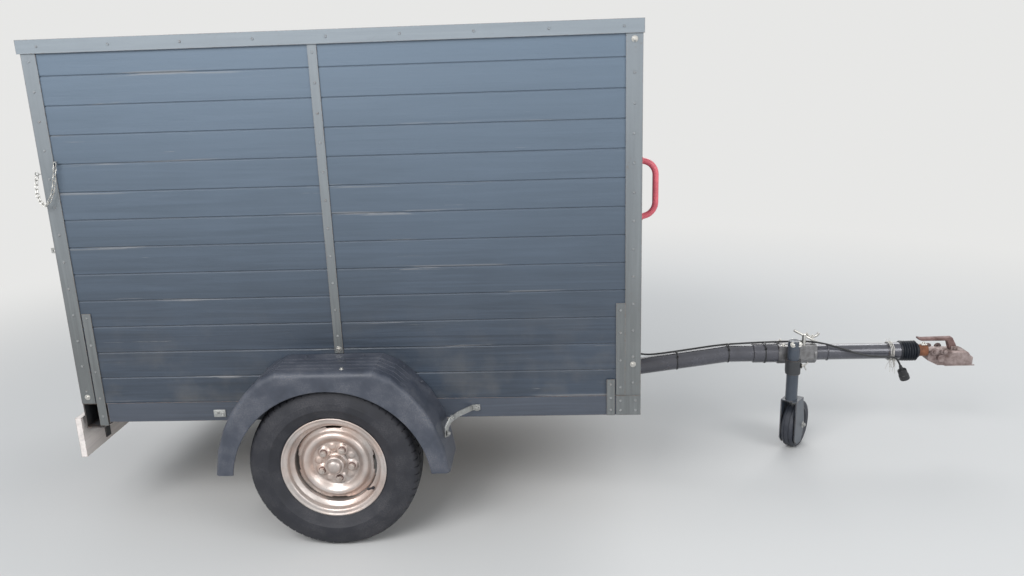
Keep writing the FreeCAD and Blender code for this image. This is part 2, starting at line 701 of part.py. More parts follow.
def hinges():
    """Three strap hinges: plates with pins on the post, straps on the door."""
    middles = [
        f"{DOOR_LOW} + sizes.door_frame / 2",
        f"({DOOR_LOW} + {DOOR_HIGH}) / 2",
        f"{DOOR_HIGH} - sizes.door_frame / 2",
    ]
    third = "sizes.hinge_tall / 3"
    edge = "(sizes.knuckle_radius + sizes.knuckle_room)"
    back = f"{REAR} - sizes.strap_wall"
    plates, straps = [], []
    for index, middle in enumerate(middles):
        foot = f"({middle} - sizes.hinge_tall / 2)"
        pieces = [
            block(f"plate_{index}", (back, f"{PIN_Y} + {edge}", foot),
                  (REAR, f"{PIN_Y} + {edge} + sizes.plate_wide", f"{foot} + sizes.hinge_tall")),
            rod(f"pin_{index}", "sizes.pin_radius", "sizes.hinge_tall", (PIN_X, PIN_Y, foot)),
        ]
        for part, start in (("low", foot), ("high", f"{foot} + 2 * {third} + sizes.seat_gap")):
            name = f"{part}_{index}"
            tall = f"{third} - sizes.seat_gap"
            pieces.append(rod(f"knuckle_{name}", "sizes.knuckle_radius", tall, (PIN_X, PIN_Y, start)))
            pieces.append(block(f"tongue_{name}", (back, PIN_Y, start),
                                (REAR, f"{PIN_Y} + {edge}", f"{start} + {tall}")))
        plates.append(fused(f"hinge_plate_{index}", pieces))
        start = f"{foot} + {third}"
        barrel = rod(f"barrel_{index}", "sizes.knuckle_radius", third, (PIN_X, PIN_Y, start))
        tongue = block(f"strap_tongue_{index}", (back, f"{PIN_Y} - {edge}", start),
                       (REAR, PIN_Y, f"{start} + {third}"))
        strap = block(f"strap_{index}",
                      (back, f"{PIN_Y} - {edge} - sizes.strap_long", f"{middle} - sizes.strap_tall / 2"),
                      (REAR, f"{PIN_Y} - {edge}", f"{middle} + sizes.strap_tall / 2"))
        whole = fused(f"strap_solid_{index}", [barrel, tongue, strap])
        bore = rod(f"strap_bore_{index}", "sizes.pin_radius + sizes.running_gap", "sizes.hinge_tall",
                   (PIN_X, PIN_Y, foot))
        straps.append(cut(f"hinge_strap_{index}", whole, bore))
    keep(group("hinge_plates", plates))
    keep(group("hinge_straps", straps))


def rear_door():
    """Leaf of boards behind flat bars, with straps that turn on the post's pins."""
    frame = new_body("door_frame")
    profile = new_sketch(frame, "frame_profile", "YZ_Plane", REAR)
    rectangle(profile, f"0 - {DOOR_SIDE}", DOOR_SIDE, DOOR_LOW, DOOR_HIGH)
    middle, bar = f"({DOOR_LOW} + {DOOR_HIGH}) / 2", "sizes.door_frame"
    for low, high in ((f"{DOOR_LOW} + {bar}", f"{middle} - {bar} / 2"),
                      (f"{middle} + {bar} / 2", f"{DOOR_HIGH} - {bar}")):
        rectangle(profile, f"{bar} - {DOOR_SIDE}", f"{DOOR_SIDE} - {bar}", low, high)
    pad(frame, "frame", profile, "sizes.door_bar")
    keep(frame)
    keep(grooved_wall("door_boards", "XZ_Plane", f"{REAR} + sizes.door_bar", "+",
                      f"0 - {DOOR_SIDE}", DOOR_SIDE, DOOR_LOW, DOOR_HIGH, "sizes.door_panel"))


def door_fastening():
    """Hasp on the door's free edge, and the staple on the post that it drops over."""
    body = new_body("door_latch")
    profile = new_sketch(body, "hasp_profile", "YZ_Plane", f"{REAR} - sizes.strap_wall")
    rise = f"({FLOOR} + sizes.hasp_rise)"
    hook = f"({HALF} - sizes.post_rear / 2)"
    tip = f"(0 - {hook} - sizes.slot_wide)"
    rectangle(profile, tip, f"{tip} + sizes.hasp_long", f"{rise} - sizes.hasp_tall / 2",
              f"{rise} + sizes.hasp_tall / 2")
    rectangle(profile, f"0 - {hook} - sizes.slot_wide / 2", f"sizes.slot_wide / 2 - {hook}",
              f"{rise} - sizes.slot_tall / 2", f"{rise} + sizes.slot_tall / 2")
    pad(body, "hasp", profile, "sizes.strap_wall")
    keep(body)

    staple = new_body("latch_staple")
    profile = new_sketch(staple, "staple_profile", "XZ_Plane", hook)
    half, thick = "sizes.staple_tall / 2", "sizes.staple_rod"
    rectangle(profile, f"{REAR} - sizes.staple_out", REAR, f"{rise} - {half}", f"{rise} + {half}")
    rectangle(profile, f"{REAR} - sizes.staple_out + {thick}", f"{REAR} - {thick}",
              f"{rise} - {half} + {thick}", f"{rise} + {half} - {thick}")
    pad(staple, "staple", profile, thick, midplane=True)
    keep(staple)


def keep_wheel(piece, stem):
    """A wheel piece is turned about the ground line, then lifted to the axle."""
    piece.setExpression("Placement.Base.z", "sizes.tyre_radius")
    keep(piece)
    finished.append(mirrored(piece, f"{stem}_left"))


def tyre():
    body = new_body("tyre_right")
    profile = new_sketch(body, "tyre_profile", "YZ_Plane")
    # Across from the wheel centre, and out from the bead, as shares of the section.
    tread = [(-0.70, 0.0), (-0.70, 0.15), (-0.97, 0.40), (-1.0, 0.52), (-0.95, 0.70), (-0.84, 0.90),
             (-0.70, 0.97), (-0.45, 1.0)]
    lining = [(0.52, 0.0), (0.56, 0.20), (0.84, 0.46), (0.74, 0.80), (0.50, 0.90)]
    section = tread + [(-across, out) for across, out in reversed(tread)]
    section += lining + [(-across, out) for across, out in reversed(lining)]
    wide, tall = "sizes.tyre_width / 2", "(sizes.tyre_radius - sizes.bead_radius)"
    outline(profile, [
        (f"{across} * {wide} - {WHEEL_LINE}", f"sizes.bead_radius + {out} * {tall}")
        for across, out in section
    ])
    turned(body, "tyre", profile, "H_Axis")
    keep_wheel(body, "tyre")


def rim():
    """Pressed rim: a barrel with a well, and a disc with slots and a raised ring."""
    body = new_body("rim_right")
    centre, wall = f"(0 - {WHEEL_LINE})", "sizes.rim_wall"
    edge, seat = "(sizes.rim_wide / 2)", "(sizes.bead_radius - sizes.seat_gap)"
    well = f"({seat} - sizes.well_deep)"
    middle, reach = f"({centre} - sizes.well_out)", "(sizes.well_wide / 2)"
    slope = "sizes.well_deep / 2"
    barrel = new_sketch(body, "barrel_profile", "YZ_Plane")
    outline(barrel, [
        (f"{centre} - {edge}", "sizes.rim_radius"),
        (f"{centre} - {edge} + {wall}", "sizes.rim_radius"),
        (f"{centre} - {edge} + {wall}", seat),
        (f"{middle} - {reach} - {slope}", seat),
        (f"{middle} - {reach}", well),
        (f"{middle} + {reach}", well),
        (f"{middle} + {reach} + {slope}", seat),
        (f"{centre} + {edge} - {wall}", seat),
        (f"{centre} + {edge} - {wall}", "sizes.rim_radius"),
        (f"{centre} + {edge}", "sizes.rim_radius"),
        (f"{centre} + {edge}", f"{seat} - {wall}"),
        (f"{middle} + {reach} + {slope} + {wall} / 2", f"{seat} - {wall}"),
        (f"{middle} + {reach} + {wall} / 2", f"{well} - {wall}"),
        (f"{middle} - {reach} - {wall} / 2", f"{well} - {wall}"),
        (f"{middle} - {reach} - {slope} - {wall} / 2", f"{seat} - {wall}"),
        (f"{centre} - {edge}", f"{seat} - {wall}"),
    ])
    turned(body, "barrel", barrel, "H_Axis")

    face = f"(0 - {DISC_FACE})"
    crown = f"({face} - sizes.crown_out)"
    disc = new_sketch(body, "disc_profile", "YZ_Plane")
    # Outward steps of the disc's outside, from the well to the bore; its inside lies one wall behind.
    steps = [
        # across, out from the axle
        (f"{face} + sizes.crown_out / 2", f"{well} - {wall} / 2"),
        (f"{face}", f"sizes.vent_radius + sizes.vent_deep / 2"),
        (f"{crown} + 2", f"(sizes.crown_radius + sizes.vent_radius) / 2"),
        (f"{crown}", "sizes.crown_radius"),
        (f"{crown} + 2", f"(sizes.crown_radius + sizes.bowl_radius) / 2"),
        (f"{face}", "sizes.bowl_radius"),
        (f"{face}", "sizes.bore_radius"),
    ]
    inside = [(f"{across} + {wall}", out) for across, out in reversed(steps)]
    outline(disc, steps + inside)
    turned(body, "disc", disc, "H_Axis")

    outside = f"{DISC_FACE} + 2 * sizes.crown_out"
    deep = "3 * sizes.crown_out + sizes.rim_wall"
    slot = new_sketch(body, "slot_profile", "XZ_Plane", outside)
    half, tall = "(sizes.vent_wide / 2)", "sizes.vent_deep / 2"
    bow = "sizes.vent_wide / 18"
    inner = f"(sizes.vent_radius - {tall} - {bow})"
    outer = f"(sizes.vent_radius + {tall} - 1.6 * {bow})"
    corners = [(f"(0 - {half})", inner), ("0", f"(sizes.vent_radius - {tall})"), (half, inner),
               (half, outer), ("0", f"(sizes.vent_radius + {tall})"), (f"(0 - {half})", outer)]
    for quarter in range(4):
        outline(slot, corners)
        corners = [(up, f"(0 - {across})") for across, up in corners]
    pocket(body, "slots", slot, deep)
    hole = new_sketch(body, "hole_profile", "XZ_Plane", outside)
    ring(hole, STUD_X, STUD_Z, "sizes.stud_radius + sizes.seat_gap")
    drilled = pocket(body, "hole", hole, deep)
    around(body, "holes", drilled, "Y_Axis", "sizes.stud_count")
    keep_wheel(body, "rim")


def hub():
    """Brake drum with its hub nose and the wheel studs."""
    body = new_body("hub_drum_right")
    profile = new_sketch(body, "hub_profile", "YZ_Plane")
    face, bore = f"(0 - {HUB_FACE})", "sizes.stub_radius + sizes.running_gap"
    nose = "sizes.hub_radius - sizes.seat_gap"
    outline(profile, [
        (f"{face} + sizes.drum_wide", bore),
        (f"{face} + sizes.drum_wide", "sizes.drum_radius"),
        (face, "sizes.drum_radius"),
        (face, nose),
        (f"{face} - sizes.rim_wall - sizes.hub_nose", nose),
        (f"{face} - sizes.rim_wall - sizes.hub_nose", bore),
    ])
    turned(body, "hub", profile, "H_Axis")
    seat = new_sketch(body, "stud_profile", "XZ_Plane", HUB_FACE)
    ring(seat, STUD_X, STUD_Z, "sizes.stud_radius")
    stud = pad(body, "stud", seat, "sizes.rim_wall + sizes.stud_long")
    around(body, "studs", stud, "Y_Axis", "sizes.stud_count")
    keep_wheel(body, "hub_drum")


def axle():
    """Hollow beam under the rails, with an arm and a stub axle at each end."""
    beam = new_body("axle_beam")
    profile = new_sketch(beam, "beam_profile", "XZ_Plane")
    half, hollow = "sizes.beam_size / 2", "(sizes.beam_size / 2 - sizes.beam_wall)"
    for reach in (half, hollow):
        rectangle(profile, f"sizes.beam_ahead - {reach}", f"sizes.beam_ahead + {reach}",
                  f"{BEAM_RISE} - {reach}", f"{BEAM_RISE} + {reach}")
    pad(beam, "beam", profile, f"2 * {BEAM_SIDE}", midplane=True)
    keep(beam)

    inner = f"2 * sizes.arm_wide - {BEAM_SIDE}"
    under = f"{DECK} - sizes.beam_plate"
    spacer = block("bracket_spacer", (BEAM_BACK, f"0 - {BEAM_SIDE}", f"{BEAM_RISE} + {half}"),
                   (BEAM_FRONT, inner, DECK))
    plate = block("bracket_plate", (BEAM_BACK, f"0 - {HALF}", under), (BEAM_FRONT, inner, DECK))
    twins(fused("axle_bracket_right", [spacer, plate]), "axle_brackets")

    arm = new_body("suspension_arm_right")
    profile = new_sketch(arm, "arm_profile", "XZ_Plane", BEAM_SIDE)
    # Ahead of and above each eye's centre, as shares of the eye's radius.
    wheel_eye = [(-1.0, 0.0), (-0.7, -0.7), (0.5, -1.0)]
    beam_eye = [(0.7, -0.8), (1.0, 0.0), (0.5, 0.8)]
    corners = [(f"{ahead} * sizes.arm_radius", f"sizes.tyre_radius + {up} * sizes.arm_radius")
               for ahead, up in wheel_eye]
    corners += [(f"sizes.beam_ahead + {ahead} * sizes.arm_radius", f"{BEAM_RISE} + {up} * sizes.arm_radius")
                for ahead, up in beam_eye]
    corners.append(("0 - sizes.arm_radius / 2", "sizes.tyre_radius + sizes.arm_radius"))
    outline(profile, corners)
    pad(arm, "arm", profile, "sizes.arm_wide")
    boss = new_sketch(arm, "boss_profile", "XZ_Plane", f"{BEAM_SIDE} + sizes.arm_wide")
    ring(boss, "0", "sizes.tyre_radius", "sizes.knuckle_boss")
    pad(arm, "boss", boss, f"{BRAKE_BACK} - ({BEAM_SIDE} + sizes.arm_wide)")
    stub = new_sketch(arm, "stub_profile", "XZ_Plane", BRAKE_BACK)
    ring(stub, "0", "sizes.tyre_radius", "sizes.stub_radius")
    pad(arm, "stub", stub, f"{DISC_FACE} + sizes.hub_nose / 2 - {BRAKE_BACK}")
    pair(arm, "suspension_arm")

    plate = new_body("brake_plate_right")
    profile = new_sketch(plate, "plate_profile", "XZ_Plane", BRAKE_BACK)
    ring(profile, "0", "sizes.tyre_radius", "sizes.plate_radius")
    ring(profile, "0", "sizes.tyre_radius", "sizes.stub_radius + sizes.seat_gap")
    pad(plate, "plate", profile, "sizes.plate_wall")
    twins(plate, "brake_plates")


def inset(corners, wall):
    """Corners of a wall's inside, from those of its outside between a flat top and a level foot."""
    places = [(number(ahead), number(up)) for ahead, up in corners]
    faces = [(0.0, 1.0)]
    for (ahead, up), (next_ahead, next_up) in zip(places, places[1:]):
        long = math.hypot(next_ahead - ahead, next_up - up)
        faces.append(((up - next_up) / long, (next_ahead - ahead) / long))
    faces.append((1.0, 0.0))
    inner = []
    for index, (ahead, up) in enumerate(corners):
        (x, z), (next_x, next_z) = faces[index], faces[index + 1]
        lean = 1.0 + x * next_x + z * next_z
        out, down = (x + next_x) / lean, (z + next_z) / lean
        if index == len(corners) - 1:
            out, down = 1.0 / x, 0.0
        inner.append((f"({ahead} - {round(out, 4)} * {wall})", f"({up} - {round(down, 4)} * {wall})"))
    return inner


def mudguards():
    """Moulded guard: a ribbed top with sloping ends and a skirt round the wheel."""
    body = new_body("mudguard_right")
    top, wall = "sizes.guard_top", "sizes.guard_wall"
    foot = f"({top} - sizes.guard_deep)"
    # From the flat top to the foot: share of the way out, and share of the depth.
    curve = [(0.0, 0.0), (0.24, 0.074), (0.47, 0.209), (0.675, 0.376), (0.823, 0.555), (0.937, 0.766),
             (1.0, 1.0)]
    half = [(f"(sizes.guard_flat + {out} * (sizes.guard_foot - sizes.guard_flat))",
             f"({top} - {down} * sizes.guard_deep)") for out, down in curve]
    profile = new_sketch(body, "guard_profile", "XZ_Plane", HALF)
    outline(profile, half + [(f"0 - {ahead}", up) for ahead, up in reversed(half)])
    pad(body, "guard", profile, f"{GUARD_SIDE} - {HALF}")
    inner = inset(half, wall)
    hollow = new_sketch(body, "hollow_profile", "XZ_Plane", HALF)
    outline(hollow, inner + [(f"0 - {ahead}", up) for ahead, up in reversed(inner)])
    inside = f"{GUARD_SIDE} - {wall} - {HALF}"
    shell = pocket(body, "hollow", hollow, inside, reverse=True)

    def along(side):
        """Test for the edges where the skirt at this side meets the top and ends."""
        outer, low = -number(side), number(foot)

        def chosen(edge):
            ends = [vertex.Point for vertex in edge.Vertexes]
            return all(abs(end.y - outer) < 0.01 for end in ends) and max(end.z for end in ends) > low + 1

        return chosen

    shell = rounded(body, "inner_shoulder", shell, f"sizes.guard_round - {wall}",
                    along(f"{GUARD_SIDE} - {wall}"))
    rounded(body, "shoulder", shell, "sizes.guard_round", along(GUARD_SIDE))

    opening = new_sketch(body, "guard_opening", "XZ_Plane", GUARD_SIDE)
    ring(opening, "0", "sizes.arch_rise", "sizes.arch_radius")
    pocket(body, "opening", opening, "sizes.guard_round * 2")
    rib = new_sketch(body, "rib_profile", "XZ_Plane", f"{HALF} + sizes.rib_first")
    bent = half[:2]
    over = [half[2]] + [(ahead, f"{up} + sizes.rib_rise") for ahead, up in reversed(bent)]
    under = [(f"({ahead} - {wall} / 2)", f"{up} - {wall} / 2") for ahead, up in bent]
    side = over + [(f"0 - {ahead}", up) for ahead, up in reversed(over)]
    outline(rib, side + [(f"0 - {ahead}", up) for ahead, up in reversed(under)] + under)
    raised = pad(body, "rib", rib, "sizes.rib_wide")
    in_line(body, "ribs", raised, (rib, ["N_Axis"]), "sizes.rib_pitch", "sizes.rib_count")
    pair(body, "mudguard")


def mudguard_stays():
    """Flat bars from the box side out to each end of the mudguard."""
    outer = f"(sizes.guard_wall - {GUARD_SIDE})"
    rise = "(sizes.guard_top - sizes.stay_drop)"
    stays = []
    for label, ahead in (("rear", "(0 - sizes.stay_rear)"), ("front", "sizes.stay_front")):
        stays.append(block(f"stay_{label}", (f"{ahead} - sizes.stay_wall / 2", outer, rise),
                           (f"{ahead} + sizes.stay_wall / 2", f"0 - {HALF}", f"{rise} + sizes.stay_tall")))
    twins(group("mudguard_stays_right", stays), "mudguard_stays")


def tube(label, plane, offset, up, outer, inner, length):
    """Round tube along the drawbar's line."""
    body = new_body(label)
    profile = new_sketch(body, f"{label}_profile", plane, offset)
    ring(profile, "0", up, outer)
    ring(profile, "0", up, inner)
    pad(body, f"{label}_length", profile, length)
    return body


def drawbar():
    bar = new_body("drawbar")
    spine = new_sketch(bar, "bar_line", "XZ_Plane")
    open_line(spine, [
        (BEAM_FRONT, BAR_LOW),
        (BEND_LOW, BAR_LOW),
        (BEND_HIGH, BAR_HIGH),
        (SADDLE, BAR_HIGH),
    ])
    section = new_sketch(bar, "bar_section", "YZ_Plane", BEAM_FRONT)
    ring(section, "0", BAR_LOW, "sizes.bar_radius")
    ring(section, "0", BAR_LOW, "sizes.bar_radius - sizes.bar_wall")
    document.recompute()
    pipe = bar.newObject("PartDesign::AdditivePipe", "bar")
    pipe.Profile = section
    pipe.Spine = (spine, [])
    pipe.Transition = "Round corner"
    keep(bar)

    half = "sizes.bracket_wide / 2"
    top = f"{BAR_LOW} + sizes.bar_radius - sizes.bracket_grip"
    back = f"{FRONT} - sizes.bracket_long"
    saddle = block("drawbar_block", (back, f"0 - {half}", top), (FRONT, half, DECK))
    hole = rod("drawbar_saddle_hole", "sizes.bar_radius + sizes.running_gap", "3 * sizes.bracket_long",
               (f"{FRONT} - 2 * sizes.bracket_long", "0", BAR_LOW), ALONG_X)
    keep(cut("drawbar_bracket", saddle, hole))

    keep(tube("drawbar_sleeve", "YZ_Plane", SLEEVE, BAR_HIGH, "sizes.sleeve_radius", "sizes.bar_radius",
              "sizes.sleeve_long"))
    bore = "sizes.shaft_radius + sizes.seat_gap"
    front = tube("coupling_tube", "YZ_Plane", SADDLE, BAR_HIGH, "sizes.front_radius", bore,
                 f"{COLLAR_END} - {SADDLE}")
    collar = new_sketch(front, "collar_profile", "YZ_Plane", COLLAR)
    ring(collar, "0", BAR_HIGH, "sizes.collar_radius")
    ring(collar, "0", BAR_HIGH, bore)
    pad(front, "collar", collar, "sizes.collar_long")
    keep(front)


def bellows():
    body = new_body("bellows")
    profile = new_sketch(body, "bellows_profile", "XZ_Plane")
    folds = int(number("sizes.fold_count"))
    bore = "sizes.shaft_radius + sizes.seat_gap"
    valley = "sizes.bellows_radius - sizes.fold_deep"
    corners = [(COLLAR_END, bore)]
    for fold in range(folds):
        step = f"{COLLAR_END} + sizes.bellows_long * {fold} / {folds}"
        corners.append((step, valley))
        corners.append((f"{step} + sizes.bellows_long * 0.35 / {folds}", "sizes.bellows_radius"))
        corners.append((f"{step} + sizes.bellows_long * 0.65 / {folds}", "sizes.bellows_radius"))
    corners.append((BELLOWS_END, valley))
    corners.append((BELLOWS_END, bore))
    outline(profile, corners)
    turned(body, "bellows_turned", profile, "H_Axis")
    body.setExpression("Placement.Base.z", BAR_HIGH)
    keep(body)


def coupling():
    """Overrun shaft, pressed coupling head with its socket, and its lever."""
    keep(rod("overrun_shaft", "sizes.shaft_radius", f"{HEAD} - {COLLAR}", (COLLAR, "0", BAR_HIGH), ALONG_X),
         COLLAR)

    head = new_body("coupling_head")
    profile = new_sketch(head, "head_profile", "XZ_Plane")
    # Ahead of the head's back, and up from its lower lip, as shares of its length and height.
    side = [(0.0, 0.30), (0.21, 0.0), (1.0, 0.0), (1.0, 0.42), (0.96, 0.42), (0.93, 0.30), (0.90, 0.55),
            (0.83, 0.84), (0.74, 0.96), (0.10, 1.0), (0.0, 0.90)]
    outline(profile, [
        (f"{HEAD} + {ahead} * sizes.head_long", f"{HEAD_LOW} + {up} * sizes.head_tall")
        for ahead, up in side
    ])
    pad(head, "head", profile, "sizes.head_wide", midplane=True)
    # Quarter of a circle, from beside to above or ahead, that rounds the top and the nose.
    quarter = [(1.0, 0.0), (0.92, 0.38), (0.71, 0.71), (0.38, 0.92), (0.0, 1.0)]
    side, crown = "sizes.head_wide / 2", f"({HEAD_LOW} + sizes.head_tall)"
    shoulder = "sizes.head_round"
    arch = [(f"({side} + ({across} - 1) * {shoulder})", f"{crown} + ({up} - 1) * {shoulder}")
            for across, up in quarter]
    arch.insert(0, (side, HEAD_LOW))
    frame = new_sketch(head, "top_profile", "YZ_Plane", f"{HEAD} - sizes.shaft_bare")
    rectangle(frame, "0 - sizes.head_wide", "sizes.head_wide", f"{HEAD_LOW} - {side}", f"{crown} + {side}")
    outline(frame, arch + [(f"0 - {across}", up) for across, up in reversed(arch)])
    pocket(head, "top", frame, "2 * sizes.head_long", reverse=True)
    nose = [(f"{HEAD_TIP} + ({ahead} - 1) * {side}", f"{across} * {side}") for across, ahead in quarter]
    waist = [(HEAD, f"sizes.shaft_radius + sizes.rim_wall"), (f"{HEAD} + sizes.head_long / 2", side)]
    plan = waist + nose
    frame = new_sketch(head, "nose_profile", "XY_Plane", HEAD_LOW)
    rectangle(frame, f"{HEAD} - {side}", f"{HEAD_TIP} + {side}", "0 - sizes.head_wide", "sizes.head_wide")
    outline(frame, plan + [(ahead, f"0 - {across}") for ahead, across in reversed(plan[:-1])])
    pocket(head, "nose", frame, "2 * sizes.head_tall", reverse=True)
    boss = new_sketch(head, "boss_profile", "XZ_Plane")
    ring(boss, f"{HEAD_TIP} - sizes.boss_back", f"{HEAD_LOW} + sizes.head_tall / 2", "sizes.boss_radius")
    pad(head, "boss", boss, "sizes.head_wide + 2 * sizes.boss_out", midplane=True)
    socket = new_sketch(head, "socket_profile", "XY_Plane", HEAD_LOW)
    ring(socket, f"{HEAD_TIP} - sizes.ball_radius - sizes.nose_wall", "0", "sizes.ball_radius")
    pocket(head, "socket", socket, "sizes.ball_deep", reverse=True)
    keep(head)

    lever = new_body("coupling_lever")
    profile = new_sketch(lever, "lever_profile", "XZ_Plane")
    foot = f"({HEAD_LOW} + sizes.head_tall)"
    pivot = f"({HEAD_TIP} - sizes.lever_back)"
    # Behind the pivot and up from the head's top, as shares of the lever's length and rise.
    strip = [(-0.12, -0.02), (0.06, 0.98), (0.90, 0.94), (1.0, 1.0), (1.0, 0.84), (0.90, 0.72),
             (0.20, 0.70), (0.12, -0.02)]
    outline(profile, [
        (f"{pivot} - {behind} * sizes.lever_long", f"{foot} + {up} * sizes.lever_rise")
        for behind, up in strip
    ])
    pad(lever, "lever", profile, "sizes.lever_wide", midplane=True)
    keep(lever)


def jockey_clamping():
    """Saddle on the front tube, the clamp beside it and the clamp's tommy bar."""
    saddle = new_body("jockey_saddle")
    profile = new_sketch(saddle, "saddle_profile", "YZ_Plane", SADDLE)
    reach = "sizes.sleeve_radius"
    # Across and up from the tube's centre, as shares of the saddle's half width.
    corners = [(-1.0, -0.45), (-0.5, -1.0), (0.5, -1.0), (1.0, -0.45), (1.0, 1.0), (-1.0, 1.0)]
    outline(profile, [(f"{across} * {reach}", f"{BAR_HIGH} + {up} * {reach}") for across, up in corners])
    ring(profile, "0", BAR_HIGH, "sizes.front_radius")
    pad(saddle, "saddle", profile, "sizes.saddle_long")
    for name, start in (("rear", SADDLE), ("front", f"{SADDLE_END} - sizes.ring_long")):
        lip = new_sketch(saddle, f"{name}_lip_profile", "YZ_Plane", start)
        ring(lip, "0", BAR_HIGH, f"{reach} + sizes.saddle_lip")
        ring(lip, "0", BAR_HIGH, "sizes.front_radius")
        pad(saddle, f"{name}_lip", lip, "sizes.ring_long")
    keep(saddle)

    clamp = new_body("jockey_clamp")
    side, long = f"(0 - {LEG_SIDE})", "sizes.clamp_long"
    profile = new_sketch(clamp, "clamp_profile", "XY_Plane", CLAMP_LOW)
    ring(profile, LEG_X, side, "sizes.leg_radius + sizes.clamp_wall")
    pad(clamp, "collar", profile, long)
    lug = new_sketch(clamp, "lug_profile", "XY_Plane", CLAMP_LOW)
    rectangle(lug, f"{LEG_X} - sizes.leg_radius", f"{LEG_X} + sizes.leg_radius", side,
              "0 - sizes.sleeve_radius")
    pad(clamp, "lug", lug, long)
    bore = new_sketch(clamp, "bore_profile", "XY_Plane", CLAMP_LOW)
    ring(bore, LEG_X, side, "sizes.leg_radius + sizes.running_gap")
    pocket(clamp, "bore", bore, long, reverse=True)
    keep(clamp)

    screw_x = f"({SADDLE_END} - sizes.handle_back)"
    screw_y = "(0 - sizes.handle_side)"
    foot = f"({BAR_HIGH} + sizes.sleeve_radius)"
    screw = rod("clamp_screw", "sizes.tommy_radius + sizes.leg_wall", "sizes.handle_rise",
                (screw_x, screw_y, foot))
    tilt = FreeCAD.Rotation(FreeCAD.Vector(0, 1, 0), 90 + number("sizes.tommy_tilt"))
    run, fall = "cos(sizes.tommy_tilt)", "sin(sizes.tommy_tilt)"
    high = f"({foot} + sizes.handle_rise - sizes.tommy_radius)"
    half, reach = "sizes.tommy_long / 2", "((sizes.tommy_long - sizes.wing_long) / 2)"
    bar = rod("tommy_bar", "sizes.tommy_radius", "sizes.tommy_long",
              (f"{screw_x} - {half} * {run}", screw_y, f"{high} + {half} * {fall}"), tilt)
    wing = document.addObject("Part::Box", "wing")
    for side_name, size in (("Length", "sizes.leg_wall"), ("Width", "2 * sizes.tommy_radius"),
                            ("Height", "sizes.wing_long")):
        wing.setExpression(side_name, size)
    wing.Placement.Rotation = tilt
    wing.setExpression("Placement.Base.x", f"{screw_x} + {reach} * {run} + sizes.tommy_radius * {fall}")
    wing.setExpression("Placement.Base.y", f"{screw_y} - sizes.tommy_radius")
    wing.setExpression("Placement.Base.z", f"{high} - {reach} * {fall} + sizes.tommy_radius * {run}")
    keep(fused("saddle_handle", [screw, bar, wing]))


def jockey_leg():
    leg = new_body("jockey_leg")
    side = f"(0 - {LEG_SIDE})"
    profile = new_sketch(leg, "leg_profile", "XY_Plane", "sizes.leg_foot")
    ring(profile, LEG_X, side, "sizes.leg_radius")
    ring(profile, LEG_X, side, "sizes.leg_radius - sizes.leg_wall")
    pad(leg, "leg", profile, f"{LEG_TOP} - sizes.leg_foot")
    cap = new_sketch(leg, "cap_profile", "XY_Plane", f"{LEG_TOP} - sizes.leg_wall")
    ring(cap, LEG_X, side, "sizes.leg_radius")
    pad(leg, "cap", cap, "sizes.leg_wall")
    keep(leg)


def jockey_wheel():
    """Fork that swivels in the leg, and its trailing wheel."""
    fork = new_body("jockey_fork")
    inner = "(sizes.tread_small + 2 * sizes.fork_room)"
    outer = f"({inner} + 2 * sizes.fork_wall)"
    trail, radius, rise = "sizes.trail_small", "sizes.wheel_small", "sizes.leg_foot"
    eye = "(3 * sizes.pin_small)"
    profile = new_sketch(fork, "fork_profile", "XZ_Plane")
    outline(profile, [
        ("0 - sizes.leg_radius", rise),
        ("0 - sizes.leg_radius", f"0.55 * {radius}"),
        ("0", f"0.3 * {radius}"),
        (f"0.75 * {trail}", f"0.3 * {radius}"),
        (f"{trail} + {eye}", f"0.9 * {radius}"),
        (f"{trail} - {eye} / 2", rise),
    ])
    pad(fork, "fork", profile, outer, midplane=True)
    slot = new_sketch(fork, "slot_profile", "XZ_Plane")
    rectangle(slot, f"0 - 2 * {radius}", f"2 * {radius}", "0", f"{rise} - sizes.fork_wall")
    pocket(fork, "slot", slot, inner, midplane=True)
    pin = new_sketch(fork, "pin_profile", "XZ_Plane")
    ring(pin, trail, radius, "sizes.pin_small")
    pad(fork, "pin", pin, outer, midplane=True)
    stem = new_sketch(fork, "stem_profile", "XY_Plane", rise)
    ring(stem, "0", "0", "sizes.leg_radius - sizes.leg_wall - sizes.running_gap")
    pad(fork, "stem", stem, "sizes.stem_long")

    wheel = new_body("jockey_wheel")
    profile = new_sketch(wheel, "wheel_profile", "XY_Plane")
    # Out from the axle, and across as a share of the half width, from the hub to the tread.
    half = "sizes.tread_small / 2"
    section = [("sizes.pin_small + sizes.running_gap", 1.0), ("0.22 * sizes.wheel_small", 1.0),
               ("0.24 * sizes.wheel_small", 0.80), ("0.74 * sizes.wheel_small", 0.80),
               ("0.76 * sizes.wheel_small", 1.0), ("0.92 * sizes.wheel_small", 1.0),
               ("sizes.wheel_small", 0.58)]
    outline(profile, [(out, f"0 - {across} * {half}") for out, across in section]
            + [(out, f"{across} * {half}") for out, across in reversed(section)])
    turned(wheel, "tread", profile, "V_Axis")

    turn = FreeCAD.Rotation(FreeCAD.Vector(0, 0, 1), number("sizes.turn_small"))
    fork.Placement.Rotation = turn
    fork.setExpression("Placement.Base.y", f"0 - {LEG_SIDE}")
    keep(fork, LEG_X)
    wheel.Placement.Rotation = turn
    wheel.setExpression("Placement.Base.y", f"{trail} * sin(sizes.turn_small) - {LEG_SIDE}")
    wheel.setExpression("Placement.Base.z", radius)
    keep(wheel, f"{LEG_X} + {trail} * cos(sizes.turn_small)")


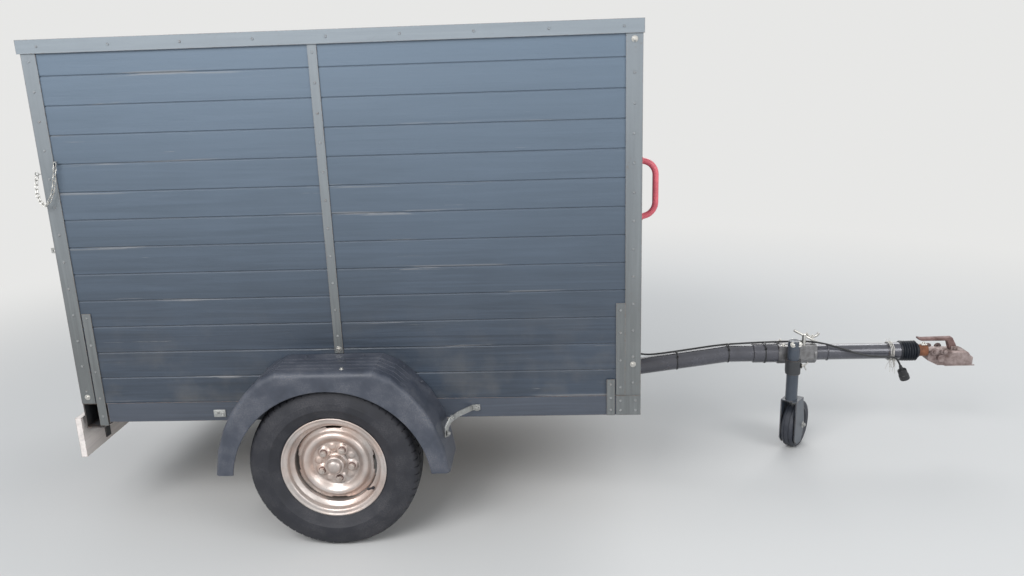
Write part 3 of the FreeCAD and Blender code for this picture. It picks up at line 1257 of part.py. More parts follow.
def grab_handle():
    """Bowed grab handle with a screw plate at each end."""
    low = f"({DECK} + sizes.grip_low)"
    high = f"({low} + sizes.grip_tall)"
    side = f"({HALF} - sizes.grip_inset)"
    body = new_body("grab_handle")
    spine = new_sketch(body, "grip_line", "XZ_Plane", side)
    reach = f"({FRONT_SKIN} + sizes.grip_reach - sizes.grip_radius)"
    foot = "(sizes.grip_foot / 2)"
    neck = f"({FRONT_SKIN} + sizes.grip_radius)"
    bow, tall = f"({reach} - {neck})", "sizes.grip_bend"
    # Out and up along each bend, as shares of its size.
    bend = [(0.6, 0.16), (0.92, 0.52), (1.0, 1.0)]
    open_line(spine, [
        (FRONT_SKIN, f"{low} + {foot}"),
        (neck, f"{low} + {foot}"),
        *[(f"{neck} + {out} * {bow}", f"{low} + {foot} + {up} * {tall}") for out, up in bend],
        *[(f"{neck} + {out} * {bow}", f"{high} - {foot} - {up} * {tall}") for out, up in bend[::-1]],
        (neck, f"{high} - {foot}"),
        (FRONT_SKIN, f"{high} - {foot}"),
    ])
    section = new_sketch(body, "grip_section", "YZ_Plane", FRONT_SKIN)
    ring(section, f"0 - {side}", f"{low} + {foot}", "sizes.grip_radius")
    document.recompute()
    grip = body.newObject("PartDesign::AdditivePipe", "grip")
    grip.Profile = section
    grip.Spine = (spine, [])
    grip.Transition = "Right corner"
    half = "sizes.grip_plate / 2"
    for label, base in (("low", low), ("high", f"({high} - sizes.grip_foot)")):
        plate = new_sketch(body, f"plate_{label}", "YZ_Plane", FRONT_SKIN)
        rectangle(plate, f"0 - {side} - {half}", f"{half} - {side}", base, f"{base} + sizes.grip_foot")
        pad(body, f"screw_plate_{label}", plate, "sizes.grip_base")
    keep(body)


def light_board():
    """Board across the back with a lamp near each end, on two angle brackets."""
    rear = f"({BOARD_BACK} - sizes.plank_thick)"
    keep(block("light_board", (rear, f"0 - {HALF}", PLANK_LOW),
               (BOARD_BACK, HALF, f"{PLANK_LOW} + sizes.plank_tall")), rear)
    lamps, brackets = [], []
    lamp_low = f"({PLANK_LOW} + (sizes.plank_tall - sizes.lamp_tall) / 2)"
    under = f"({DECK} - sizes.sill_drop)"
    wall, half = "sizes.bracket_wall", "sizes.bracket_bar / 2"
    for label, sign in (("right", -1), ("left", 1)):
        middle = f"{sign} * ({HALF} - sizes.lamp_out)"
        lamps.append(block(f"lamp_{label}", (REAR_END, f"{middle} - sizes.lamp_wide / 2", lamp_low),
                           (rear, f"{middle} + sizes.lamp_wide / 2", f"{lamp_low} + sizes.lamp_tall")))
        middle = f"{sign} * ({HALF} - sizes.bracket_inset)"
        arm = block(f"board_arm_{label}", (BOARD_BACK, f"{middle} - {half}", f"{PLANK_LOW} + {half}"),
                    (f"{BOARD_BACK} + {wall}", f"{middle} + {half}", under))
        foot = block(f"board_foot_{label}", (BOARD_BACK, f"{middle} - {half}", f"{under} - {wall}"),
                     (f"{REAR} + sizes.sill_deep / 2", f"{middle} + {half}", under))
        brackets.append(fused(f"board_bracket_{label}", [arm, foot]))
    keep(group("rear_lamps", lamps))
    keep(group("light_board_brackets", brackets))


# Route of the cable from its gland to its plug: ahead of the wheel axis, left of the
# centre line and up from the ground. It lies on the drawbar, passes the clamp screw and
# hangs along the right of the front tube.
CABLE_ROUTE = [
    (1073, 0, 425),
    (1094, 0, 425),
    (1150, 1, 407),
    (1245, -1, 418),
    (1362, 1, 434),
    (1470, 0, 449),
    (1558, 2, 452),
    (1640, -1, 456),
    (1742, 3, 456),
    (1815, -4, 458),
    (1868, -22, 456),
    (1925, -37, 443),
    (2035, -49, 408),
    (2095, -51, 401),
    (2148, -52, 401),
    (2174, -52, 391),
    (2187, -52, 360),
]
BEND_SHARE = 0.45


def cable():
    """Round cable along its route: straight runs joined by tangent arcs."""
    places = [FreeCAD.Vector(*place) for place in CABLE_ROUTE]
    edges, start, smallest = [], places[0], None
    for before, corner, after in zip(places, places[1:], places[2:]):
        back, ahead = (before - corner), (after - corner)
        reach = BEND_SHARE * min(back.Length, ahead.Length)
        first = corner + FreeCAD.Vector(back).normalize() * reach
        last = corner + FreeCAD.Vector(ahead).normalize() * reach
        radius = reach * math.tan(back.getAngle(ahead) / 2)
        smallest = radius if smallest is None else min(smallest, radius)
        middle = FreeCAD.Vector(back).normalize() + FreeCAD.Vector(ahead).normalize()
        centre = corner + middle.normalize() * (radius ** 2 + reach ** 2) ** 0.5
        edges.append(Part.LineSegment(start, first).toShape())
        edges.append(Part.Arc(first, centre + (corner - centre).normalize() * radius, last).toShape())
        start = last
    edges.append(Part.LineSegment(start, places[-1]).toShape())
    path = Part.Wire(edges)
    thick = number("sizes.cable_radius")
    section = Part.Wire(Part.Circle(places[0], places[1] - places[0], thick).toShape())
    piece = document.addObject("Part::Feature", "cable")
    piece.Label = "cable"
    piece.Shape = path.makePipeShell([section], True, False)
    ideal = math.pi * thick ** 2 * path.Length
    print("cable length", round(path.Length, 1), "smallest radius", round(smallest, 1),
          "volume share", round(piece.Shape.Volume / ideal, 4))
    keep(piece)

    body = new_body("plug")
    profile = new_sketch(body, "plug_profile", "YZ_Plane")
    # Out from the plug's line, and down from the cable's end, as shares of its radius and length.
    section = [(0.0, 0.0), (0.42, 0.0), (0.58, 0.24), (0.90, 0.28), (0.90, 0.66), (1.0, 0.68),
               (1.0, 1.0), (0.0, 1.0)]
    outline(profile, [
        (f"{out} * sizes.plug_radius", f"0 - {down} * sizes.plug_long")
        for out, down in section
    ])
    turned(body, "plug_turned", profile, "V_Axis")
    body.Placement.Rotation = FreeCAD.Rotation(FreeCAD.Vector(0, 1, 0), -number("sizes.plug_tilt"))
    end = CABLE_ROUTE[-1]
    body.setExpression("Placement.Base.y", str(end[1]))
    body.setExpression("Placement.Base.z", str(end[2]))
    keep(body, str(end[0]))


side_rails()
end_members()
cross_members()
walls()
posts_and_trim()
side_strips()
rear_door()
hinges()
door_fastening()
tyre()
rim()
hub()
axle()
mudguards()
mudguard_stays()
drawbar()
bellows()
coupling()
jockey_clamping()
jockey_leg()
jockey_wheel()
grab_handle()
light_board()
cable()
document.recompute()

for item in document.Objects:
    faults = [state for state in item.State if state in ("Invalid", "Error")]
    if faults:
        raise RuntimeError(f"{item.Label} is {faults}")

os.makedirs("parts", exist_ok=True)
for piece in finished:
    shape = piece.Shape
    if shape.isNull() or not shape.isValid():
        raise RuntimeError(f"{piece.Label} has no valid shape")
    shape.exportStep(f"parts/{piece.Label}.step")
    print(piece.Label, len(shape.Solids), round(shape.Volume / 1e6, 3), "litres")
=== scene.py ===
"""Looks of a box trailer: finishes, fixings, wheels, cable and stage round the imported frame."""

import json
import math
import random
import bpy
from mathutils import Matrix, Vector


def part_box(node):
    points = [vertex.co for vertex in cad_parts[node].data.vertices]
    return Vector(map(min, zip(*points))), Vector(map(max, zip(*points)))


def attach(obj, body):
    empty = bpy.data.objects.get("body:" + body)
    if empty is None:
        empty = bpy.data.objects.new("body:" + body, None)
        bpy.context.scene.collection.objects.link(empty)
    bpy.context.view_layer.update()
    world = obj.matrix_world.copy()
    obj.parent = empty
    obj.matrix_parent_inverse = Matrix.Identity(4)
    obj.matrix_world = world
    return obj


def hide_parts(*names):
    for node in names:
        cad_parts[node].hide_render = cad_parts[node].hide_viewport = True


bl_info = {
    "name": "Box trailer looks",
    "version": (1, 0, 0),
    "blender": (4, 5, 0),
    "location": "View3D > Sidebar > Trailer",
    "description": "Dresses the packed box trailer and sets the stage round it",
    "category": "Object",
}

from contextlib import contextmanager

import bmesh
import bpy
from bmesh.types import BMEdge, BMFace, BMVert
from bpy.props import FloatProperty, FloatVectorProperty, IntProperty, PointerProperty
from mathutils import Matrix, Vector

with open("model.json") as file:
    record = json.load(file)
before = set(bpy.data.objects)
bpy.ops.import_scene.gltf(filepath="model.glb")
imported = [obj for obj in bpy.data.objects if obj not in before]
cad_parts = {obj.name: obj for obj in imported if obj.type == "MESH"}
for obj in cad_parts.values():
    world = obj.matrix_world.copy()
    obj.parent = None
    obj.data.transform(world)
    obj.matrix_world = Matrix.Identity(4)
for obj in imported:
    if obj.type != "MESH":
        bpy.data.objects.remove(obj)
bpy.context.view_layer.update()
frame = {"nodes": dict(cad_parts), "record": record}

X, Y, Z = 0, 1, 2
SIDES = {"right": -1, "left": 1}


def low(node, axis):
    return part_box(node)[0][axis]


def high(node, axis):
    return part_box(node)[1][axis]


def middle(node, axis):
    return (low(node, axis) + high(node, axis)) / 2


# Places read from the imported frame.
SIDE = high("rear_post_left", Y)
PROUD = high("roof_trim_left", Y)
REAR = low("rear_post_right", X)
FRONT = high("front_post_right", X)
DECK = low("side_rail_right", Z)
FLOOR = high("side_rail_right", Z)
TOP = high("roof_trim_right", Z)
AXLE_X = middle("tyre_right", X)
AXLE_Z = middle("tyre_right", Z)
WHEEL_Y = middle("tyre_left", Y)
TYRE_OUT = (high("tyre_right", Z) - low("tyre_right", Z)) / 2
TYRE_HALF = (high("tyre_left", Y) - low("tyre_left", Y)) / 2
RIM_OUT = (high("rim_right", Z) - low("rim_right", Z)) / 2
BAR_Z = middle("coupling_tube", Z)
BAR_LOW = DECK - 0.051  # the cranked bar's centre line where it leaves the deck
GUARD_OUT = high("mudguard_left", Y)
GUARD_LOW = low("mudguard_left", Z)
GUARD_TOP = high("mudguard_left", Z) - 0.0025
BOARD_BACK = low("light_board", X)
TRIM_BACK = low("roof_trim_rear", X)

# Sizes that the frame doesn't give: steel of strips and straps, and the boards' pitch.
WALL = 0.004
BOARD_PITCH = 0.095
# Wheel studs: radius of their circle, the first one's angle and the step to the next, in degrees.
STUDS = 5
STUD_OUT = 0.056
FIRST_STUD = 63.0
STUD_STEP = 360.0 / STUDS

# Colours that dust and rust add to the finishes, the painted sky sheen towards the top, and the dust and
# painted fill light in the board seams.
SKY_SHEEN_BOARDS = (0.165, 0.225, 0.295)
SKY_SHEEN_STEEL = (0.30, 0.34, 0.38)
ROAD_DUST = (0.13, 0.125, 0.12)
SEAM_DUST_AND_FILL_LIGHT = (0.16, 0.18, 0.21)
PALE_DUST = (0.24, 0.22, 0.2)
BARE_WOOD = (0.32, 0.31, 0.30)
RUST = (0.15, 0.08, 0.045)
PITTED_STEEL = (0.17, 0.10, 0.065)
# The surround, also where the floor runs out into it, and the cool light from it.
PALE = (0.80, 0.80, 0.79)
SKY, SKY_STRENGTH = (0.86, 0.93, 1.0), 0.56

FINISH = {}


# Painted frame finishes: name, way the brush went, factor on the frame's colour, wear of its edges, share of
# painted sky sheen.
FRAME_FINISHES = [
    ("frame_paint", "Z", (1.0, 1.0, 1.0), 0.72, 0.6),
    # painted shade: the rail's paint darker and bluer than the frame's
    ("rail_paint_shaded", "X", (0.46, 0.51, 0.66), 0.68, 0.0),
    # painted sky sheen: the roof trims' paint lighter than the frame's
    ("trim_paint_sheened", "X", (1.3, 1.4, 1.5), 0.72, 0.6),
    ("cross_paint", "Y", (1.1, 1.1, 1.1), 0.72, 0.6),
]
# Record slots of the finishes that are used on small pieces only.
FINISH_SLOT = {
    "bright_zinc": "galvanised",
    "nut_zinc": "galvanised",
    "screw_paint": "frame_paint",
    "amber_lens": "lamp_lens",
    "reflector_red": "lamp_lens",
    "jockey_hub": "jockey_rubber",
}
# CAD nodes whose finish isn't simply that of their slot.
NODE_FINISH = {
    "front_wall": "boards_across",
    "door_boards": "boards_across",
    "side_rail_right": "rail_paint_shaded",
    "side_rail_left": "rail_paint_shaded",
    "roof_trim_right": "trim_paint_sheened",
    "roof_trim_left": "trim_paint_sheened",
    "roof_trim_front": "cross_paint",
    "roof_trim_rear": "cross_paint",
    "front_member": "cross_paint",
    "door_header": "cross_paint",
    "jockey_saddle": "saddle_zinc",
    "saddle_handle": "bright_zinc",
    "jockey_leg": "leg_paint",
}


class TrailerSizes(bpy.types.PropertyGroup):
    tread_groove: FloatProperty(name="Tread groove", description="Depth of the grooves round the tyre",
                                default=0.007, min=0.0, max=0.01, unit="LENGTH")
    tread_blocks: IntProperty(name="Tread blocks", description="Shoulder blocks round the tyre",
                              default=64, min=24, max=90)
    disc_wall: FloatProperty(name="Disc thickness", description="Pressed steel of the wheel disc",
                             default=0.004, min=0.002, max=0.006, unit="LENGTH")
    nut_across: FloatProperty(name="Wheel nut", description="Wheel nut across its flats",
                              default=0.020, min=0.015, max=0.024, unit="LENGTH")
    bolt_across: FloatProperty(name="Frame bolt", description="Frame bolt head across its flats",
                               default=0.013, min=0.008, max=0.02, unit="LENGTH")
    screw_head: FloatProperty(name="Screw head", description="Domed screw head across",
                              default=0.0095, min=0.005, max=0.014, unit="LENGTH")
    cable_across: FloatProperty(name="Cable", description="Cable across its sheath",
                                default=0.008, min=0.006, max=0.012, unit="LENGTH")
    link_long: FloatProperty(name="Chain link", description="Outside length of a chain link",
                             default=0.021, min=0.012, max=0.03, unit="LENGTH")
    lamp_power: FloatProperty(name="Key lamp", description="Power of the large soft lamp",
                              default=265.0, min=50.0, max=1000.0, unit="POWER")


class TrailerColours(bpy.types.PropertyGroup):
    boards: FloatVectorProperty(name="Boards", description="Paint on the boards", subtype="COLOR",
                                default=(0.038, 0.051, 0.072), min=0.0, max=1.0)
    frame: FloatVectorProperty(name="Frame", description="Paint on the steel frame", subtype="COLOR",
                               default=(0.150, 0.159, 0.160), min=0.0, max=1.0)
    bar: FloatVectorProperty(name="Drawbar", description="Paint on the drawbar", subtype="COLOR",
                             default=(0.085, 0.086, 0.104), min=0.0, max=1.0)
    rim: FloatVectorProperty(name="Wheel rims", description="Silver paint on the rims", subtype="COLOR",
                             default=(0.60, 0.545, 0.515), min=0.0, max=1.0)
    guard: FloatVectorProperty(name="Mudguards", description="Weathered moulding", subtype="COLOR",
                               default=(0.056, 0.064, 0.086), min=0.0, max=1.0)
    handle: FloatVectorProperty(name="Grab handle", description="Red moulding", subtype="COLOR",
                                default=(0.74, 0.14, 0.175), min=0.0, max=1.0)
    floor: FloatVectorProperty(name="Stage floor", description="Plain pale floor", subtype="COLOR",
                               default=(0.62, 0.615, 0.605), min=0.0, max=1.0)


class Finish:
    """A material, with short ways to add pattern nodes in object coordinates."""

    def __init__(self, name, **fixed):
        self.material = bpy.data.materials.new(name)
        self.material.use_nodes = True
        self.nodes = self.material.node_tree.nodes
        self.links = self.material.node_tree.links
        self.shader = self.nodes["Principled BSDF"]
        for socket, value in fixed.items():
            self.shader.inputs[socket.replace("_", " ")].default_value = value
        self.place = self.add("ShaderNodeTexCoord").outputs["Object"]
        FINISH[name] = self.material

    def add(self, kind, **settings):
        node = self.nodes.new(kind)
        for name, value in settings.items():
            setattr(node, name, value)
        return node

    def feed(self, socket, value):
        """Link a socket, or set a plain number or colour."""
        if isinstance(value, bpy.types.NodeSocket):
            self.links.new(value, socket)
        elif isinstance(value, (tuple, list)) and len(value) == 3 and socket.type == "RGBA":
            socket.default_value = (*value, 1.0)
        else:
            socket.default_value = value

    def set(self, **wanted):
        for socket, value in wanted.items():
            self.feed(self.shader.inputs[socket.replace("_", " ")], value)

    def stretched(self, stretch):
        node = self.add("ShaderNodeMapping")
        self.feed(node.inputs["Vector"], self.place)
        node.inputs["Scale"].default_value = stretch
        return node.outputs["Vector"]

    def noise(self, scale, detail=4.0, roughness=0.55, stretch=(1, 1, 1), twist=0.0):
        node = self.add("ShaderNodeTexNoise")
        self.feed(node.inputs["Vector"], self.stretched(stretch))
        for socket, value in (("Scale", scale), ("Detail", detail), ("Roughness", roughness),
                              ("Distortion", twist)):
            node.inputs[socket].default_value = value
        return node.outputs["Fac"]

    def crystals(self, scale):
        """Cells with a colour each, as zinc grows them."""
        node = self.add("ShaderNodeTexVoronoi")
        self.feed(node.inputs["Vector"], self.place)
        node.inputs["Scale"].default_value = scale
        return node.outputs["Color"]

    def grain(self, scale, along, twist):
        """Streaks 28 times as long as wide along one axis, as of timber or brush strokes."""
        stretch = [1.0] * 3
        stretch["XYZ".index(along)] = 1.0 / 28
        return self.noise(scale, 6.0, 0.62, stretch, twist)

    def ramp(self, factor, *stops):
        """Greys or colours at places between 0 and 1, and what lies between them."""
        node = self.add("ShaderNodeValToRGB")
        self.feed(node.inputs["Fac"], factor)
        band = node.color_ramp
        while len(band.elements) < len(stops):
            band.elements.new(0.5)
        for element, (place, value) in zip(band.elements, stops):
            element.position = place
            element.color = (*value, 1.0) if isinstance(value, tuple) else (value, value, value, 1.0)
        return node.outputs["Color"]

    def mix(self, factor, first, second):
        node = self.add("ShaderNodeMix", data_type="RGBA", blend_type="MIX")
        self.feed(node.inputs[0], factor)
        self.feed(node.inputs[6], first)
        self.feed(node.inputs[7], second)
        return node.outputs[2]

    def reckon(self, kind, first, second, clamped=True):
        node = self.add("ShaderNodeMath", operation=kind, use_clamp=clamped)
        self.feed(node.inputs[0], first)
        self.feed(node.inputs[1], second)
        return node.outputs[0]

    def times(self, first, second):
        return self.reckon("MULTIPLY", first, second)

    def plus(self, first, second):
        return self.reckon("ADD", first, second)

    def minus(self, first, second):
        return self.reckon("SUBTRACT", first, second)

    def most(self, first, second):
        return self.reckon("MAXIMUM", first, second)

    def level(self):
        """Height above the ground."""
        split = self.add("ShaderNodeSeparateXYZ")
        self.feed(split.inputs[0], self.place)
        return split.outputs["Z"]

    def height(self, start, end):
        """0 at one height above the ground to 1 at another."""
        node = self.add("ShaderNodeMapRange")
        self.feed(node.inputs["Value"], self.level())
        node.inputs["From Min"].default_value = start
        node.inputs["From Max"].default_value = end
        return node.outputs["Result"]

    def seams(self, start, pitch):
        """1 on the seams between boards that are stacked upwards, 0 on the boards."""
        risen = self.reckon("SUBTRACT", self.level(), start, clamped=False)
        steps = self.reckon("PINGPONG", risen, pitch / 2, clamped=False)
        return self.ramp(self.times(steps, 2 / pitch), (0.0, 1.0), (0.2, 0.0))

    def painted_sky_sheen(self, paint, pale, share):
        """Paint lightened by painted sky sheen, more and more from 0.7 m above the ground to the box's top.
        """
        return self.mix(self.times(self.height(0.70, TOP), share), paint, pale)

    def crevices(self, reach=0.02):
        """1 deep in corners and gaps, 0 in the open."""
        node = self.add("ShaderNodeAmbientOcclusion", samples=4, only_local=True)
        node.inputs["Distance"].default_value = reach
        return self.ramp(node.outputs["AO"], (0.35, 1.0), (0.85, 0.0))

    def rounded(self, reach):
        """The direction a surface faces, with its edges rounded off."""
        node = self.add("ShaderNodeBevel", samples=4)
        node.inputs["Radius"].default_value = reach
        return node.outputs["Normal"]

    def edges(self, reach, gain):
        """1 along sharp edges, 0 on flats."""
        facing = self.add("ShaderNodeNewGeometry")
        node = self.add("ShaderNodeVectorMath", operation="DOT_PRODUCT")
        self.feed(node.inputs[0], self.rounded(reach))
        self.feed(node.inputs[1], facing.outputs["Normal"])
        return self.times(self.minus(1.0, node.outputs["Value"]), gain)

    def relief(self, tall, distance, strength, reach=None):
        """Bumps as deep as a distance, over edges that may be rounded."""
        node = self.add("ShaderNodeBump")
        node.inputs["Strength"].default_value = strength
        node.inputs["Distance"].default_value = distance
        self.feed(node.inputs["Height"], tall)
        if reach:
            self.feed(node.inputs["Normal"], self.rounded(reach))
        self.feed(self.shader.inputs["Normal"], node.outputs["Normal"])


def shade(colour, factor):
    return tuple(min(1.0, channel * factor) for channel in colour)


def painted_boards(name, along, colour):
    """Opaque paint over planed softwood: brushed along the boards, fading in patches, painted sky sheen
    towards the top, dusty, dust and painted fill light in the grooves, chipped at the seams.
    """
    finish = Finish(name, Coat_Weight=0.12, Coat_Roughness=0.32)
    strokes = finish.grain(42.0, along, twist=1.2)
    timber = finish.grain(120.0, along, twist=3.0)
    paint = finish.ramp(strokes, (0.28, shade(colour, 0.7)), (0.52, colour), (0.8, shade(colour, 1.5)))
    faded_and_sheen = finish.mix(finish.ramp(finish.noise(1.7, 3.0), (0.42, 0.0), (0.78, 0.5)), paint,
                       shade(colour, 1.7))
    dust = finish.times(finish.ramp(finish.height(0.85, 0.45), (0.0, 0.0), (1.0, 0.45)),
                        finish.ramp(finish.noise(9.0, 5.0), (0.45, 0.0), (0.7, 1.0)))
    # painted sky sheen: the boards lighter towards the top of the box
    faded_and_sheen = finish.painted_sky_sheen(faded_and_sheen, SKY_SHEEN_BOARDS, 0.74)
    dusty = finish.mix(dust, faded_and_sheen, ROAD_DUST)
    seam = finish.seams(FLOOR, BOARD_PITCH)
    flake = finish.ramp(finish.grain(34.0, along, twist=0.4), (0.585, 0.0), (0.61, 1.0))
    scuff = finish.ramp(finish.grain(90.0, along, twist=0.2), (0.66, 0.0), (0.70, 0.7))
    patch = finish.ramp(finish.noise(3.1, 2.0), (0.53, 0.0), (0.60, 1.0))
    worn = finish.most(finish.times(seam, flake), finish.times(scuff, patch))
    chipped = finish.mix(finish.times(worn, 0.62), dusty, BARE_WOOD)
    # dust and painted fill light: the paint lightened deep in the grooves, where shade falls
    finish.set(Base_Color=finish.mix(finish.times(finish.crevices(0.012), 0.6), chipped, SEAM_DUST_AND_FILL_LIGHT),
               Roughness=finish.ramp(strokes, (0.3, 0.36), (0.75, 0.56)))
    grooves = finish.plus(finish.times(timber, 0.6), strokes)
    finish.relief(finish.minus(grooves, finish.times(worn, 0.3)), 0.0012, 0.5, reach=0.0015)


def brushed_paint(name, colour, along=None, metal=(0.33, 0.3, 0.27), roughness=0.42, chips=0.72, rust=0.35,
                  coat=0.1, metallic=0.0, faded_and_sheen=0.0):
    """Hand-painted steel: brush marks, chips along the edges, rust creeping from the corners and painted
    shade darkening them.
    """
    finish = Finish(name, Coat_Weight=coat, Coat_Roughness=0.22)
    strokes = finish.grain(60.0, along, twist=0.8) if along else finish.noise(16.0, 5.0, 0.6)
    blotch = finish.noise(7.0, 5.0)
    paint = finish.ramp(strokes, (0.3, shade(colour, 0.74)), (0.6, colour), (0.85, shade(colour, 1.3)))
    paint = finish.mix(finish.ramp(blotch, (0.4, 0.0), (0.8, 0.4)), paint, shade(colour, 0.66))
    # painted sky sheen: the paint lighter towards the top of the box
    if faded_and_sheen:
        paint = finish.painted_sky_sheen(paint, SKY_SHEEN_STEEL, faded_and_sheen)
    edge = finish.edges(0.003, 6.0)
    ragged = finish.noise(130.0, 5.0, 0.7)
    chip = finish.ramp(finish.plus(finish.times(edge, 0.3), ragged), (chips, 0.0),
                       (chips + 0.04, 1.0))
    corner = finish.crevices()
    grown = finish.times(finish.plus(blotch, finish.times(corner, 0.3)), ragged)
    rusted = finish.mix(finish.ramp(grown, (0.36, 0.0), (0.5, rust)), paint, RUST)
    # painted shade: the paint darkened deep in corners and gaps
    painted_shade_in_corners = finish.mix(finish.times(corner, 0.5), rusted, shade(colour, 0.3))
    bare = finish.mix(finish.ramp(ragged, (0.4, 0.0), (0.6, 1.0)), metal, PITTED_STEEL)
    gloss = finish.ramp(strokes, (0.3, roughness - 0.08), (0.8, roughness + 0.12))
    finish.set(Base_Color=finish.mix(chip, painted_shade_in_corners, bare),
               Metallic=finish.ramp(chip, (0.0, metallic), (1.0, 0.35)),
               Roughness=finish.mix(chip, gloss, (0.6, 0.6, 0.6)))
    finish.relief(finish.minus(strokes, finish.times(chip, 0.5)),
                  0.0006 if along else 0.0010, 0.5 if along else 0.35, reach=0.0015)


def bare_metal(name, bright, dull, roughness, spangle=0.0, pits=0.0, metallic=1.0):
    """Zinc, cast or rusty steel: colour clouds, crystals and pits."""
    finish = Finish(name, Metallic=metallic)
    clouds = finish.noise(24.0, 6.0, 0.65)
    fine = finish.noise(420.0, 3.0, 0.7)
    colour = finish.ramp(clouds, (0.32, dull), (0.68, bright))
    if spangle:
        crystal = finish.ramp(finish.crystals(90.0), (0.2, shade(bright, 0.7)), (0.9, bright))
        colour = finish.mix(spangle, colour, crystal)
    finish.set(Base_Color=finish.mix(finish.ramp(fine, (0.45, 0.0), (0.7, 0.35)), colour, dull),
               Roughness=finish.ramp(clouds, (0.3, min(1.0, roughness + 0.22)), (0.7, roughness)))
    finish.relief(finish.plus(finish.times(clouds, 0.4), fine), 0.0003 + pits, 0.6, reach=0.001)


def moulded(name, colour, roughness, grain=320.0, dusty=0.25, deep=0.0002, **fixed):
    """Rubber or plastic: fine moulded grain, dust and dull patches."""
    finish = Finish(name, **fixed)
    fine = finish.noise(grain, 3.0, 0.6)
    clouds = finish.noise(11.0, 6.0, 0.6)
    base = finish.ramp(clouds, (0.3, shade(colour, 0.7)), (0.7, shade(colour, 1.25)))
    dust = finish.times(finish.ramp(fine, (0.4, 0.0), (0.7, 1.0)),
                        finish.ramp(clouds, (0.45, 0.0), (0.75, dusty)))
    finish.set(Base_Color=finish.mix(dust, base, PALE_DUST),
               Roughness=finish.ramp(clouds, (0.3, max(0.05, roughness - 0.1)),
                                     (0.75, min(1.0, roughness + 0.12))))
    finish.relief(fine, deep, 0.7, reach=0.0012)
    return finish


